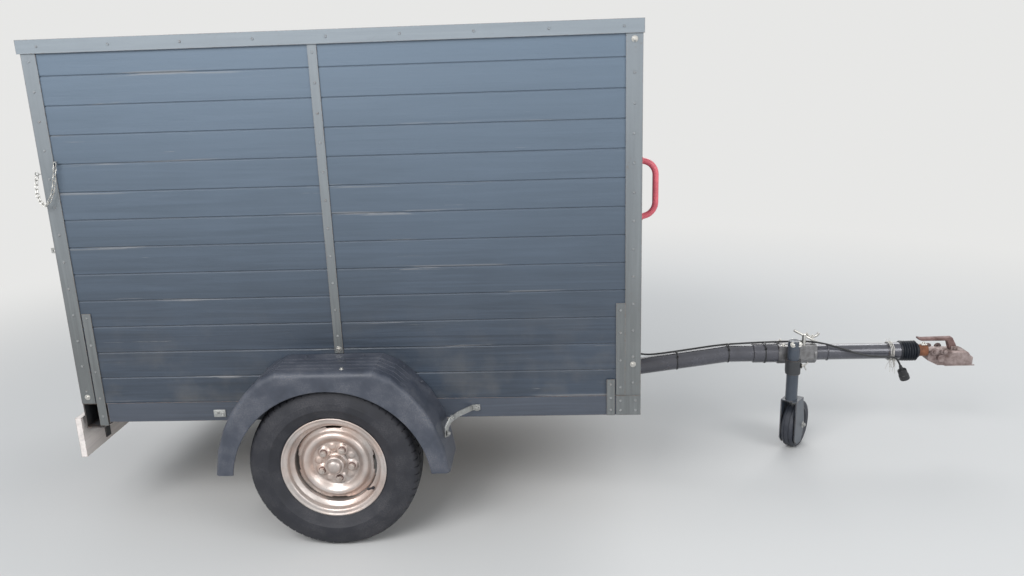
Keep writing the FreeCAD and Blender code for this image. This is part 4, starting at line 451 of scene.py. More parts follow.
class TRAILER_OT_finishes(bpy.types.Operator):
    """Make every finish and put it on the CAD nodes"""
    bl_idname = "trailer.finishes"
    bl_label = "Finishes"

    def execute(self, context):
        colours = context.scene.trailer_colours
        painted_boards("boards", "X", tuple(colours.boards))
        painted_boards("boards_across", "Y", tuple(colours.boards))
        for name, along, shade_and_sheen_tint, wear, faded_and_sheen in FRAME_FINISHES:
            brushed_paint(name, tuple(part * share for part, share in zip(colours.frame, shade_and_sheen_tint)), along,
                          chips=wear, faded_and_sheen=faded_and_sheen)
        brushed_paint("dark_steel", (0.04, 0.042, 0.046), "X", chips=0.70, rust=0.7, roughness=0.55)
        brushed_paint("bar_paint", tuple(colours.bar), roughness=0.24, chips=0.76, rust=0.7, coat=0.7,
                      metallic=0.35)
        brushed_paint("leg_paint", (0.054, 0.067, 0.088), roughness=0.34, chips=0.69, rust=0.3, coat=0.2)
        # screw heads, with painted sky sheen towards the top
        brushed_paint("screw_paint", (0.30, 0.31, 0.31), chips=0.82, rust=0.0, roughness=0.5, faded_and_sheen=0.6)
        brushed_paint("roof_sheet", (0.11, 0.125, 0.13), "X", chips=0.78, rust=0.0, roughness=0.6)
        brushed_paint("white_paint", (0.86, 0.79, 0.75), "Y", metal=(0.3, 0.22, 0.15), chips=0.72, rust=0.15)
        bare_metal("galvanised", (0.56, 0.57, 0.56), (0.3, 0.3, 0.29), 0.42, spangle=0.5)
        bare_metal("saddle_zinc", (0.38, 0.38, 0.39), (0.12, 0.115, 0.115), 0.36, spangle=0.3, pits=0.0003)
        bare_metal("rusty_steel", (0.36, 0.15, 0.075), (0.12, 0.05, 0.03), 0.62, pits=0.0005, metallic=0.35)
        bare_metal("worn_zinc", (0.44, 0.36, 0.345), (0.15, 0.105, 0.095), 0.44, pits=0.0006, metallic=0.6)
        bare_metal("lever_steel", (0.27, 0.175, 0.165), (0.11, 0.062, 0.055), 0.5, pits=0.0003, metallic=0.45)
        bare_metal("drum", (0.13, 0.085, 0.065), (0.05, 0.03, 0.022), 0.75, pits=0.0004, metallic=0.3)
        bare_metal("bright_zinc", (0.72, 0.71, 0.68), (0.5, 0.49, 0.46), 0.3)
        bare_metal("nut_zinc", (0.70, 0.63, 0.58), (0.34, 0.28, 0.25), 0.32, metallic=0.7)
        moulded("tyre", (0.020, 0.021, 0.028), 0.62, dusty=0.3)
        moulded("jockey_rubber", (0.026, 0.030, 0.042), 0.55, dusty=0.35)
        moulded("jockey_hub", (0.035, 0.040, 0.052), 0.4, dusty=0.4)
        moulded("bellows_rubber", (0.014, 0.019, 0.027), 0.42)
        moulded("cable_black", (0.012, 0.013, 0.015), 0.4, dusty=0.2)
        moulded("red_plastic", tuple(colours.handle), 0.38, dusty=0.1)
        moulded("lamp_lens", (0.42, 0.012, 0.01), 0.16, dusty=0.08, Coat_Weight=0.6, Coat_Roughness=0.08)
        moulded("reflector_red", (0.5, 0.012, 0.008), 0.12, grain=900.0, deep=0.0006, dusty=0.1,
                Coat_Weight=0.7, Coat_Roughness=0.05)
        moulded("amber_lens", (0.72, 0.2, 0.01), 0.16, dusty=0.08, Coat_Weight=0.6, Coat_Roughness=0.08)
        moulded("guard_plastic", tuple(colours.guard), 0.5, grain=240.0, dusty=0.55, deep=0.0004)
        rope = moulded("rope", (0.66, 0.63, 0.58), 0.85, grain=90.0, dusty=0.2, deep=0.001)
        rope.set(Sheen_Weight=0.2)
        self.rims(tuple(colours.rim))
        self.plywood()
        self.dress()
        return {"FINISHED"}

    def rims(self, colour):
        """Worn silver paint, warm with age, with rust and painted shade in the corners, and stone chips."""
        finish = Finish("rim_silver", Metallic=0.72, Coat_Weight=0.12, Coat_Roughness=0.3)
        clouds = finish.noise(10.0, 6.0)
        fine = finish.noise(210.0, 4.0, 0.7)
        corner = finish.crevices(0.022)
        paint = finish.ramp(clouds, (0.3, shade(colour, 0.66)), (0.52, colour), (0.75, shade(colour, 1.25)))
        warm = finish.mix(finish.ramp(finish.noise(6.0, 3.0), (0.48, 0.0), (0.7, 0.5)), paint,
                          (0.66, 0.46, 0.37))
        grown = finish.times(finish.plus(clouds, finish.times(corner, 0.4)), fine)
        stained = finish.mix(finish.ramp(grown, (0.33, 0.0), (0.47, 0.7)), warm, (0.22, 0.115, 0.075))
        # painted shade: the silver darkened deep in corners and gaps
        painted_shade_in_corners = finish.mix(finish.times(corner, 0.85), stained, (0.05, 0.042, 0.04))
        chip = finish.ramp(finish.plus(finish.times(finish.edges(0.002, 4.0), 0.16), fine),
                           (0.68, 0.0), (0.71, 1.0))
        finish.set(Base_Color=finish.mix(chip, painted_shade_in_corners, (0.13, 0.06, 0.035)),
                   Roughness=finish.ramp(clouds, (0.3, 0.46), (0.7, 0.3)))
        finish.relief(finish.plus(fine, clouds), 0.0004, 0.5)

    def plywood(self):
        """Grey weathered veneer on the load floor."""
        finish = Finish("plywood")
        veins = finish.grain(36.0, "X", twist=3.5)
        stains = finish.noise(5.0, 5.0)
        wood = finish.ramp(veins, (0.3, (0.17, 0.115, 0.07)), (0.5, (0.34, 0.25, 0.17)),
                           (0.75, (0.44, 0.35, 0.26)))
        stained = finish.mix(finish.ramp(stains, (0.45, 0.0), (0.75, 0.6)), wood, (0.15, 0.13, 0.11))
        finish.set(Base_Color=stained, Roughness=finish.ramp(veins, (0.3, 0.85), (0.7, 0.65)))
        finish.relief(veins, 0.0008, 0.6)

    def dress(self):
        """Each CAD node takes the finish of its record slot, brushed the way the piece runs."""
        slots = {part["node"]: part["material_slot"] for part in frame["record"]["subparts"]}
        for node, piece in frame["nodes"].items():
            piece.data.materials.clear()
            piece.data.materials.append(FINISH[NODE_FINISH.get(node, slots[node])])


def clamp(value):
    return min(1.0, max(0.0, value))


def enlist(name, data, finish, body, slot=None, replaces=()):
    """Make a mesh or curve a named piece that rides on a body."""
    piece = bpy.data.objects.new(name, data)
    bpy.context.scene.collection.objects.link(piece)
    data.materials.append(FINISH[finish])
    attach(piece, body)
    slot = slot or FINISH_SLOT.get(finish, finish)
    if replaces:
        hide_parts(*replaces)
    return piece


def finish_piece(name, bm, finish, body="chassis", sharp=35.0, **how):
    """Make a bmesh a piece, smooth but for its sharp edges."""
    bmesh.ops.remove_doubles(bm, verts=bm.verts, dist=1e-6)
    bmesh.ops.recalc_face_normals(bm, faces=bm.faces)
    mesh = bpy.data.meshes.new(name)
    bm.to_mesh(mesh)
    bm.free()
    mesh.shade_smooth()
    mesh.set_sharp_from_angle(angle=math.radians(sharp))
    return enlist(name, mesh, finish, body, **how)


@contextmanager
def new_piece(name, finish, body="chassis", **how):
    """A bmesh to model in, which becomes a piece where the block ends."""
    bm = bmesh.new()
    yield bm
    finish_piece(name, bm, finish, body, **how)


def only(kind, geom):
    return [item for item in geom if isinstance(item, kind)]


def edges_of(verts):
    return list({edge for vert in verts for edge in vert.link_edges})


def round_edges(bm, edges, offset, segments):
    bmesh.ops.bevel(bm, geom=edges, offset=offset, offset_type="OFFSET", affect="EDGES", segments=segments,
                    profile=0.5, material=-1)


def lathe(bm, outline, centre, axis, steps, closed=False):
    """Turn an outline of (along, out) points fully about an axis."""
    centre, axis = Vector(centre), Vector(axis).normalized()
    side = Vector((0, 0, 1)) if abs(axis.z) < 0.7 else Vector((1, 0, 0))
    side = (side - axis * side.dot(axis)).normalized()
    verts = [bm.verts.new(centre + axis * along + side * out) for along, out in outline]
    pairs = list(zip(verts, verts[1:]))
    if closed:
        pairs.append((verts[-1], verts[0]))
    edges = [bm.edges.new(pair) for pair in pairs]
    bmesh.ops.spin(bm, geom=verts + edges, cent=centre, axis=axis, dvec=(0, 0, 0), angle=math.tau,
                   steps=steps, use_merge=True, use_duplicate=False)
    bmesh.ops.remove_doubles(bm, verts=bm.verts, dist=1e-6)


def facing(direction, place, turn=0.0):
    """Matrix that stands +Z along a direction at a place."""
    return (Matrix.Translation(place) @ Vector(direction).to_track_quat("Z", "Y").to_matrix().to_4x4()
            @ Matrix.Rotation(turn, 4, "Z"))


def standing(bm, place, direction, segments, foot, tall, wide, narrow, turn=0.0):
    """Round or cornered block along a direction, from a foot height up; gives its vertices."""
    matrix = facing(direction, place, turn) @ Matrix.Translation((0, 0, foot + tall / 2))
    return bmesh.ops.create_cone(bm, cap_ends=True, segments=segments, radius1=wide, radius2=narrow,
                                 depth=tall, matrix=matrix)["verts"]


def hex_head(bm, place, direction, across, tall=None, washer=True, turn=0.0, stud=0.0):
    """Hexagon head or nut on a washer, standing along a direction, with the end of its stud."""
    tall = tall or across * 0.55
    lift = across * 0.12 if washer else 0.0
    if washer:
        standing(bm, place, direction, 20, 0.0, lift, across, across * 0.96, turn)
    corner = across * 0.577
    verts = standing(bm, place, direction, 6, lift, tall, corner, corner, turn)
    crown = Vector(direction).normalized()
    rim = [edge for edge in edges_of(verts)
           if all((vert.co - Vector(place)).dot(crown) > lift + tall * 0.9 for vert in edge.verts)]
    round_edges(bm, rim, across * 0.07, 2)
    if stud:
        standing(bm, place, direction, 14, 0.0, tall + lift + stud, across * 0.3, across * 0.27)


def screw_head(bm, place, direction, across):
    """Domed screw head with a recess sunk into it, turned another way at each height."""
    out = across / 2
    verts = standing(bm, place, direction, 12, 0.0, out * 0.5, out, out * 0.6, place[2] * 37.0)
    crown = Vector(direction).normalized()
    faces = {face for vert in verts for face in vert.link_faces}
    top = max(faces, key=lambda face: face.calc_center_median().dot(crown))
    bmesh.ops.inset_individual(bm, faces=[top], thickness=out * 0.25, depth=-out * 0.2)


def plate(bm, lowest, highest, round_off, segments=2):
    """Flat block between two corners, with its edges rounded."""
    lowest, highest = Vector(lowest), Vector(highest)
    matrix = Matrix.Translation((lowest + highest) / 2) @ Matrix.Diagonal((*(highest - lowest), 1.0))
    made = bmesh.ops.create_cube(bm, size=1.0, matrix=matrix)
    round_edges(bm, edges_of(made["verts"]), round_off, segments)


def rod(bm, start, end, radius, segments, far_radius=None):
    """Round bar from one point to another."""
    start, end = Vector(start), Vector(end)
    bmesh.ops.create_cone(bm, cap_ends=True, segments=segments, radius1=radius, radius2=far_radius or radius,
                          depth=(end - start).length, matrix=facing(end - start, (start + end) / 2))


def spline_curve(name, runs):
    """Curve of smooth splines, each with its places as control points."""
    curve = bpy.data.curves.new(name, "CURVE")
    curve.dimensions = "3D"
    curve.resolution_u = 10
    for places in runs:
        spline = curve.splines.new("NURBS")
        spline.points.add(len(places) - 1)
        for point, place in zip(spline.points, places):
            point.co = (*place, 1.0)
        spline.order_u = 3
        spline.use_endpoint_u = True
    return curve


def wire(name, runs, radius, finish, body="chassis", replaces=()):
    """Round wires along smooth runs, as one piece that rides on a body."""
    curve = spline_curve(name, runs)
    curve.bevel_depth = radius
    curve.bevel_resolution = 4
    curve.use_fill_caps = True
    return enlist(name, curve, finish, body, replaces=replaces)


def spaced(places, pitch):
    """Points at an even pitch along the spline that these places control."""
    holder = bpy.data.objects.new("run", spline_curve("run", [places]))
    mesh = bpy.data.meshes.new_from_object(holder)
    run = [vert.co.copy() for vert in mesh.vertices]
    bpy.data.meshes.remove(mesh)
    bpy.data.curves.remove(holder.data)
    points, left = [run[0]], pitch
    for start, end in zip(run, run[1:]):
        length = (end - start).length
        while length > left:
            start = start.lerp(end, left / length)
            length -= left
            points.append(start)
            left = pitch
        left -= length
    return points


def softened(name, node, finish, body, width):
    """A CAD node's shape with its edges rounded, standing for that node."""
    sharp = 30.0
    bm = bmesh.new()
    bm.from_mesh(frame["nodes"][node].data)
    bmesh.ops.remove_doubles(bm, verts=bm.verts, dist=1e-5)
    bmesh.ops.dissolve_limit(bm, angle_limit=math.radians(1.0), verts=bm.verts, edges=bm.edges)
    piece = finish_piece(name, bm, finish, body, sharp, replaces=[node])
    rounded = piece.modifiers.new("rounded", "BEVEL")
    rounded.width = width
    rounded.segments = 2
    rounded.limit_method = "ANGLE"
    rounded.angle_limit = math.radians(sharp)


def ring(bm, centre, axis, out, thick, steps, sides):
    """Round ring about an axis."""
    section = [(math.cos(math.tau * side / sides) * thick, out + math.sin(math.tau * side / sides) * thick)
               for side in range(sides)]
    lathe(bm, section, centre, axis, steps, closed=True)


def spoke(angle):
    """Direction out from a road wheel's axle."""
    return Vector((math.cos(angle), 0.0, math.sin(angle)))


def off_bar(angle):
    """Direction out from the drawbar's centre line."""
    return Vector((0.0, math.cos(angle), math.sin(angle)))


# The cable's route from gland to plug, in metres: the same points as in the CAD source.
CABLE_ROUTE = [
    (0.3265, 0.0, 0.425),
    (0.3475, 0.0, 0.425),
    (0.4035, 0.001, 0.407),
    (0.4985, -0.001, 0.418),
    (0.6155, 0.001, 0.434),
    (0.7235, 0.0, 0.449),
    (0.8115, 0.002, 0.452),
    (0.8935, -0.001, 0.456),
    (0.9955, 0.003, 0.456),
    (1.0685, -0.004, 0.458),
    (1.1215, -0.022, 0.456),
    (1.1785, -0.037, 0.443),
    (1.2885, -0.049, 0.408),
    (1.3485, -0.051, 0.401),
    (1.4015, -0.052, 0.401),
    (1.4275, -0.052, 0.391),
    (1.4405, -0.052, 0.360),
]
PLUG_LEAN = math.radians(22.75)

# Where the photograph was taken: place in metres, turn, tilt and roll in radians, lens in millimetres.
CAMERA_PLACE = (-0.0012, -3.2936, 1.584)
CAMERA_TURN, CAMERA_TILT, CAMERA_ROLL = -0.0458, 0.2582, -0.0332
CAMERA_LENS, CAMERA_SENSOR = 28.83, 36.0


class TRAILER_OT_camera(bpy.types.Operator):
    """Stand the camera where the photograph was taken"""
    bl_idname = "trailer.camera"
    bl_label = "Camera"

    def execute(self, context):
        turn, tilt, roll = CAMERA_TURN, CAMERA_TILT, CAMERA_ROLL
        ahead = Vector((math.sin(turn) * math.cos(tilt), math.cos(turn) * math.cos(tilt), -math.sin(tilt)))
        level = Vector((math.cos(turn), -math.sin(turn), 0.0))
        above = level.cross(ahead)
        right = level * math.cos(roll) + above * math.sin(roll)
        up = above * math.cos(roll) - level * math.sin(roll)
        camera = bpy.data.cameras.new("view")
        camera.sensor_width = CAMERA_SENSOR
        camera.lens = CAMERA_LENS
        stand = bpy.data.objects.new("view", camera)
        context.scene.collection.objects.link(stand)
        stand.matrix_world = (Matrix.Translation(CAMERA_PLACE)
                              @ Matrix((right, up, -ahead)).transposed().to_4x4())
        context.scene.camera = stand
        return {"FINISHED"}


class TRAILER_OT_cable(bpy.types.Operator):
    """Lay the lighting cable along the drawbar to its hanging plug"""
    bl_idname = "trailer.cable"
    bl_label = "Cable and plug"

    def execute(self, context):
        sizes = context.scene.trailer_sizes
        cable = wire("lighting_cable", [CABLE_ROUTE], sizes.cable_across / 2, "cable_black",
                     replaces=["cable"])
        plug = self.plug()
        with new_piece("cable_gland", "cable_black") as bm:
            lathe(bm, [(-0.014, 0.0), (-0.014, 0.0095), (-0.003, 0.0095), (0.0, 0.008), (0.012, 0.0052),
                       (0.014, 0.0)], CABLE_ROUTE[0], (1, 0, 0), 20)
        return {"FINISHED"}

    def plug(self):
        """Seven-pin plug: ribbed strain relief, round body, locking lug and lip."""
        down = Vector((math.sin(PLUG_LEAN), 0.0, -math.cos(PLUG_LEAN)))
        outline = [(0.0, 0.0), (0.0, 0.0055)]
        for rib in range(4):
            outline += [(0.003 + 0.0035 * rib, 0.0062 + 0.0006 * rib),
                        (0.0045 + 0.0035 * rib, 0.0055 + 0.0007 * rib)]
        outline += [(0.017, 0.0150), (0.020, 0.0178), (0.040, 0.0182), (0.042, 0.0198), (0.061, 0.0198),
                    (0.063, 0.0188), (0.063, 0.0162), (0.050, 0.0158), (0.050, 0.0)]
        bm = bmesh.new()
        lathe(bm, outline, CABLE_ROUTE[-1], down, 40)
        return finish_piece("cable_plug", bm, "cable_black", replaces=["plug"])


class TRAILER_OT_tyres(bpy.types.Operator):
    """Make the road tyres, with grooves, shoulder blocks and sidewall rings"""
    bl_idname = "trailer.tyres"
    bl_label = "Tyres"

    def execute(self, context):
        sizes = context.scene.trailer_sizes
        for name, sign in SIDES.items():
            with new_piece(f"road_tyre_{name}", "tyre", f"wheel_{name}", replaces=[f"tyre_{name}"],
                           sharp=28.0) as bm:
                self.pitch(bm, sign * WHEEL_Y, sizes.tread_groove, math.tau / sizes.tread_blocks)
                whole = bm.verts[:] + bm.edges[:] + bm.faces[:]
                for block in range(1, sizes.tread_blocks):
                    copy = bmesh.ops.duplicate(bm, geom=whole)["geom"]
                    bmesh.ops.rotate(bm, verts=only(BMVert, copy), cent=(AXLE_X, 0, AXLE_Z),
                                     matrix=Matrix.Rotation(math.tau * block / sizes.tread_blocks, 3, "Y"))
                bmesh.ops.remove_doubles(bm, verts=bm.verts, dist=2e-5)
        return {"FINISHED"}

    def pitch(self, bm, centre, groove, angle):
        """One block and the slot beside it, as a wedge of the tyre.

        The outline is in shares of the tyre's half width and of its height over the bead.
        """
        bead = RIM_OUT - 0.018
        tall = TYRE_OUT - bead
        wide = TYRE_HALF
        block_share, slot_share, slot_deep = 0.8, 0.2, groove * 0.35
        half = [(0.70, 0.0), (0.705, 0.10), (0.78, 0.17), (0.80, 0.175), (0.82, 0.20), (0.91, 0.30),
                (0.97, 0.40), (0.985, 0.41), (0.998, 0.50), (0.985, 0.60), (0.978, 0.605), (0.95, 0.70),
                (0.90, 0.80), (0.86, 0.875), (0.80, 0.925), (0.70, 0.962), (0.60, 0.978)]
        deep = 1.0 - groove / tall
        crown = [(0.50, 0.985), (0.48, deep), (0.41, deep), (0.39, 0.993), (0.22, 0.998), (0.20, deep),
                 (0.12, deep), (0.10, 1.0)]
        outline = half + crown
        outline += [(-across, out) for across, out in reversed(outline)]
        outline += [(-0.60, 0.05), (-0.72, 0.40), (-0.55, 0.84), (0.55, 0.84), (0.72, 0.40), (0.60, 0.05)]
        verts = [bm.verts.new((AXLE_X, centre + across * wide, AXLE_Z + bead + out * tall))
                 for across, out in outline]
        edges = [bm.edges.new((verts[index - 1], verts[index])) for index in range(len(verts))]
        axis, hub = (0, 1, 0), (AXLE_X, 0, AXLE_Z)
        spun = bmesh.ops.spin(bm, geom=verts + edges, cent=hub, axis=axis, dvec=(0, 0, 0),
                              angle=angle * block_share, steps=2)
        before = set(bm.faces)
        bmesh.ops.spin(bm, geom=spun["geom_last"], cent=hub, axis=axis, dvec=(0, 0, 0),
                       angle=angle * slot_share, steps=1)
        slot = []
        for face in set(bm.faces) - before:
            place = face.calc_center_median() - Vector((AXLE_X, centre, AXLE_Z))
            out = math.hypot(place.x, place.z)
            across = abs(place.y) / wide
            if (0.60 < across < 0.9 or 0.23 < across < 0.38) and out > bead + 0.86 * tall:
                slot.append(face)
        moved = bmesh.ops.extrude_face_region(bm, geom=slot)["geom"]
        bmesh.ops.delete(bm, geom=slot, context="FACES")
        for vert in only(BMVert, moved):
            inward = Vector((AXLE_X - vert.co.x, 0.0, AXLE_Z - vert.co.z)).normalized()
            vert.co += inward * slot_deep


class TRAILER_OT_wheels(bpy.types.Operator):
    """Press the slotted wheel discs and their barrels, with nuts, cap and valve"""
    bl_idname = "trailer.wheels"
    bl_label = "Wheels"

    def execute(self, context):
        sizes = context.scene.trailer_sizes
        for name, sign in SIDES.items():
            centre = Vector((AXLE_X, sign * WHEEL_Y, AXLE_Z))
            outward = Vector((0, sign, 0))
            self.disc(name, centre, outward, sizes.disc_wall)
            self.barrel(name, centre, outward)
            self.fixings(name, centre, outward, sizes.nut_across)
        return {"FINISHED"}

    def disc(self, name, centre, outward, wall):
        """Dished disc: a raised ring, four slots at its edge, and bosses at the studs and between them."""
        slot_start, slot_shoulder = 0.1320, 0.1370
        slot_narrow, slot_wide = 10.0, 17.0
        boss_reach, boss_tall = 0.0220, 0.0070
        web_out, web_reach, web_tall = 0.061, 0.0135, 0.0040
        border = 0.0045
        bm = bmesh.new()
        outline = [(0.0215, 0.0325 + 0.0035 * step) for step in range(13)]
        outline += [(0.0205, 0.0775), (0.0215, 0.0815), (0.0270, 0.087), (0.0350, 0.0945), (0.0395, 0.101),
                    (0.0400, 0.107), (0.0365, 0.1135), (0.0285, 0.1190), (0.0240, 0.1230),
                    (0.0215, slot_start), (0.0200, slot_shoulder), (0.013, 0.1425)]
        lathe(bm, outline, centre, outward, 96)

        def polar(point):
            place = point - centre
            return math.hypot(place.x, place.z), math.degrees(math.atan2(place.z, place.x))

        slots = []
        for face in bm.faces:
            out, angle = polar(face.calc_center_median())
            away = min(angle % 90, 90 - angle % 90)
            if out > slot_start and away < (slot_narrow if out < slot_shoulder else slot_wide):
                slots.append(face)
        bmesh.ops.delete(bm, geom=slots, context="FACES")
        for vert in bm.verts:
            out, angle = polar(vert.co)
            angle -= FIRST_STUD
            nearest = abs((angle + STUD_STEP / 2) % STUD_STEP - STUD_STEP / 2)
            farthest = abs(angle % STUD_STEP - STUD_STEP / 2)
            boss = math.hypot(out - STUD_OUT, math.radians(nearest) * out)
            web = math.hypot(out - web_out, math.radians(farthest) * out)
            vert.co += outward * (boss_tall * clamp((boss_reach - boss) / border)
                                  + web_tall * clamp((web_reach - web) / border))
        piece = finish_piece(f"wheel_disc_{name}", bm, "rim_silver", f"wheel_{name}",
                             replaces=[f"rim_{name}"], sharp=60.0)
        thick = piece.modifiers.new("thickness", "SOLIDIFY")
        thick.thickness = wall
        thick.offset = -1.0
        fine = piece.modifiers.new("smooth", "SUBSURF")
        fine.levels = fine.render_levels = 1

    def barrel(self, name, centre, outward):
        """Rim barrel: rolled flanges, bead seats and the well."""
        with new_piece(f"wheel_barrel_{name}", "rim_silver", f"wheel_{name}", replaces=[f"rim_{name}"],
                       sharp=50.0) as bm:
            seat, well, wall = 0.1635, 0.1475, 0.0042
            flange = RIM_OUT - 0.001
            outer = [(0.0595, seat), (0.0590, seat + 0.012), (0.0605, flange - 0.003), (0.0635, flange),
                     (0.0650, flange - 0.0025), (0.0645, flange - 0.0055), (0.0616, flange - 0.0075),
                     (0.0612, seat + 0.0070), (0.0612, seat + 0.0020), (0.0600, seat - 0.0015),
                     (0.0555, seat - wall), (0.0440, seat - wall - 0.001), (0.0400, seat - wall - 0.003),
                     (0.032, well - wall), (-0.024, well - wall), (-0.035, seat - wall - 0.001),
                     (-0.0605, seat - wall), (-0.0635, seat + 0.004), (-0.0625, flange - 0.008),
                     (-0.0645, flange - 0.004), (-0.0635, flange), (-0.0605, flange - 0.003),
                     (-0.0590, seat + 0.012), (-0.0595, seat), (-0.036, seat - 0.001), (-0.026, well),
                     (0.031, well), (0.040, seat - 0.002)]
            lathe(bm, outer, centre, outward, 96, closed=True)

    def fixings(self, name, centre, outward, across):
        """Five nuts on conical seats, the grease cap and the valve."""
        body = f"wheel_{name}"
        seat_foot, nut_tall, valve_out = 0.0283, 0.010, 0.152
        bm, seats = bmesh.new(), bmesh.new()
        for index in range(STUDS):
            angle = math.radians(FIRST_STUD + STUD_STEP * index)
            foot = centre + outward * seat_foot + spoke(angle) * STUD_OUT
            lathe(seats, [(0.0, 0.0), (0.0, 0.0132), (0.0012, 0.0128), (0.004, 0.0105), (0.004, 0.0)], foot,
                  outward, 24)
            hex_head(bm, foot + outward * 0.003, outward, across, tall=nut_tall, washer=False, turn=angle,
                     stud=0.002)
        finish_piece(f"wheel_nuts_{name}", bm, "nut_zinc", body)
        # dark rusty steel seats, which also stand for painted shade round the nuts
        finish_piece(f"wheel_nut_seats_{name}", seats, "lever_steel", body, slot="drum")
        with new_piece(f"hub_cap_{name}", "rim_silver", body) as bm:
            lathe(bm, [(0.0690, 0.0), (0.0685, 0.009), (0.0665, 0.016), (0.0630, 0.0215), (0.0590, 0.0240),
                       (0.0560, 0.0246), (0.0540, 0.0256), (0.0540, 0.0312), (0.0520, 0.0334),
                       (0.0480, 0.0338), (0.0290, 0.0338), (0.0265, 0.0368), (0.0260, 0.0400),
                       (0.0240, 0.0410)], centre, outward, 48)
        valve = spoke(math.radians(325.0))
        with new_piece(f"tyre_valve_{name}", "tyre", body) as bm:
            lathe(bm, [(-0.012, 0.0), (-0.012, 0.006), (0.002, 0.0055), (0.004, 0.0038), (0.018, 0.0036),
                       (0.019, 0.0044), (0.027, 0.0042), (0.029, 0.0)],
                  centre + outward * 0.043 + valve * valve_out, outward * 0.85 - valve * 0.5, 16)


class TRAILER_OT_mudguards(bpy.types.Operator):
    """Add the mudguards' rolled lips, bolts, bent braces and rail tabs"""
    bl_idname = "trailer.mudguards"
    bl_label = "Mudguard fittings"

    def execute(self, context):
        sizes = context.scene.trailer_sizes
        for name, sign in SIDES.items():
            self.lip(name, sign)
            self.bolts(name, sign, sizes.screw_head)
            self.brace(name, sign, sizes.bolt_across)
        return {"FINISHED"}

    def lip(self, name, sign):
        """Rolled lip round the wheel opening in the skirt."""
        arch, rise, thick = 0.344, 0.242, 0.003
        side = sign * (GUARD_OUT - thick)
        start = math.asin((GUARD_LOW - rise) / arch)
        foot = (AXLE_X - math.cos(start) * arch, side, rise + math.sin(start) * arch)
        upright = facing((math.sin(start), 0, -math.cos(start)), foot)
        with new_piece(f"mudguard_lip_{name}", "guard_plastic") as bm:
            verts = bmesh.ops.create_circle(bm, segments=8, radius=thick, matrix=upright)["verts"]
            bmesh.ops.spin(bm, geom=verts + edges_of(verts), cent=(AXLE_X, side, rise), axis=(0, 1, 0),
                           dvec=(0, 0, 0), angle=math.pi - 2 * start, steps=48)
            bmesh.ops.holes_fill(bm, edges=[edge for edge in bm.edges if edge.is_boundary], sides=8)

    def bolts(self, name, sign, across):
        """Washered bolts through the top and slopes into the box side."""
        near, far = sign * (SIDE + 0.028), sign * (GUARD_OUT - 0.040)
        with new_piece(f"mudguard_bolts_{name}", "guard_plastic") as bm:
            for end in (-1, 1):
                hex_head(bm, (AXLE_X + end * 0.10, near, GUARD_TOP), (0, 0, 1), across * 0.8)
            for end in (-1, 1):
                for ahead, up in ((0.240, 0.6075), (0.298, 0.5500)):
                    hex_head(bm, (AXLE_X + end * ahead, near, up), (0.53 * end, 0.0, 0.85), across * 0.7)
        with new_piece(f"mudguard_stay_bolt_{name}", "bright_zinc") as bm:
            hex_head(bm, (AXLE_X + 0.055, far, GUARD_TOP), (0, 0, 1), across * 0.8)

    def brace(self, name, sign, across):
        """Galvanised strap from the rail to the front slope, and a drilled tab behind the guard."""

        def at(ahead, out, up):
            return Vector((AXLE_X + ahead, sign * out, up))

        bends = [at(0.496, 0.6065, 0.441), at(0.470, 0.6085, 0.440), at(0.424, 0.668, 0.441),
                 at(0.402, 0.704, 0.437), at(0.391, 0.722, 0.418), at(0.388, 0.730, 0.385)]
        with new_piece(f"mudguard_brace_{name}", "galvanised") as bm:
            self.strap(bm, bends, 0.020, 0.0035)
            hex_head(bm, at(0.484, 0.6095, 0.4405), (0, sign, 0), across, stud=0.003)
            hex_head(bm, at(0.408, 0.698, 0.4435), (0.55, sign * 0.30, 0.78), across * 0.8)
            hex_head(bm, at(0.3935, 0.728, 0.397), (0.98, 0.0, 0.2), across * 0.8, stud=0.002)
        with new_piece(f"rail_tab_{name}", "galvanised") as bm:
            plate(bm, at(-0.463, 0.6045, 0.418), at(-0.419, 0.6085, 0.446), 0.0015)
            hex_head(bm, at(-0.450, 0.6085, 0.434), (0, sign, 0), across * 0.75)
            ring(bm, at(-0.431, 0.6088, 0.430), (0, sign, 0), 0.0045, 0.0012, 20, 6)

    def strap(self, bm, places, wide, thick):
        """Flat strap bent along its places, standing on edge."""
        edge, faces = None, []
        for index, place in enumerate(places):
            ahead = places[min(index + 1, len(places) - 1)] - places[max(index - 1, 0)]
            across = Vector((0, 0, 1)).cross(ahead).cross(ahead).normalized() * (wide / 2)
            if edge is None:
                edge = bm.edges.new((bm.verts.new(place - across), bm.verts.new(place + across)))
                continue
            made = bmesh.ops.extrude_edge_only(bm, edges=[edge])["geom"]
            edge = only(BMEdge, made)[0]
            faces += only(BMFace, made)
            first, last = edge.verts
            if (last.co - first.co).dot(across) < 0:
                first, last = last, first
            first.co, last.co = place - across, place + across
        bmesh.ops.recalc_face_normals(bm, faces=faces)
        bmesh.ops.solidify(bm, geom=faces, thickness=thick)


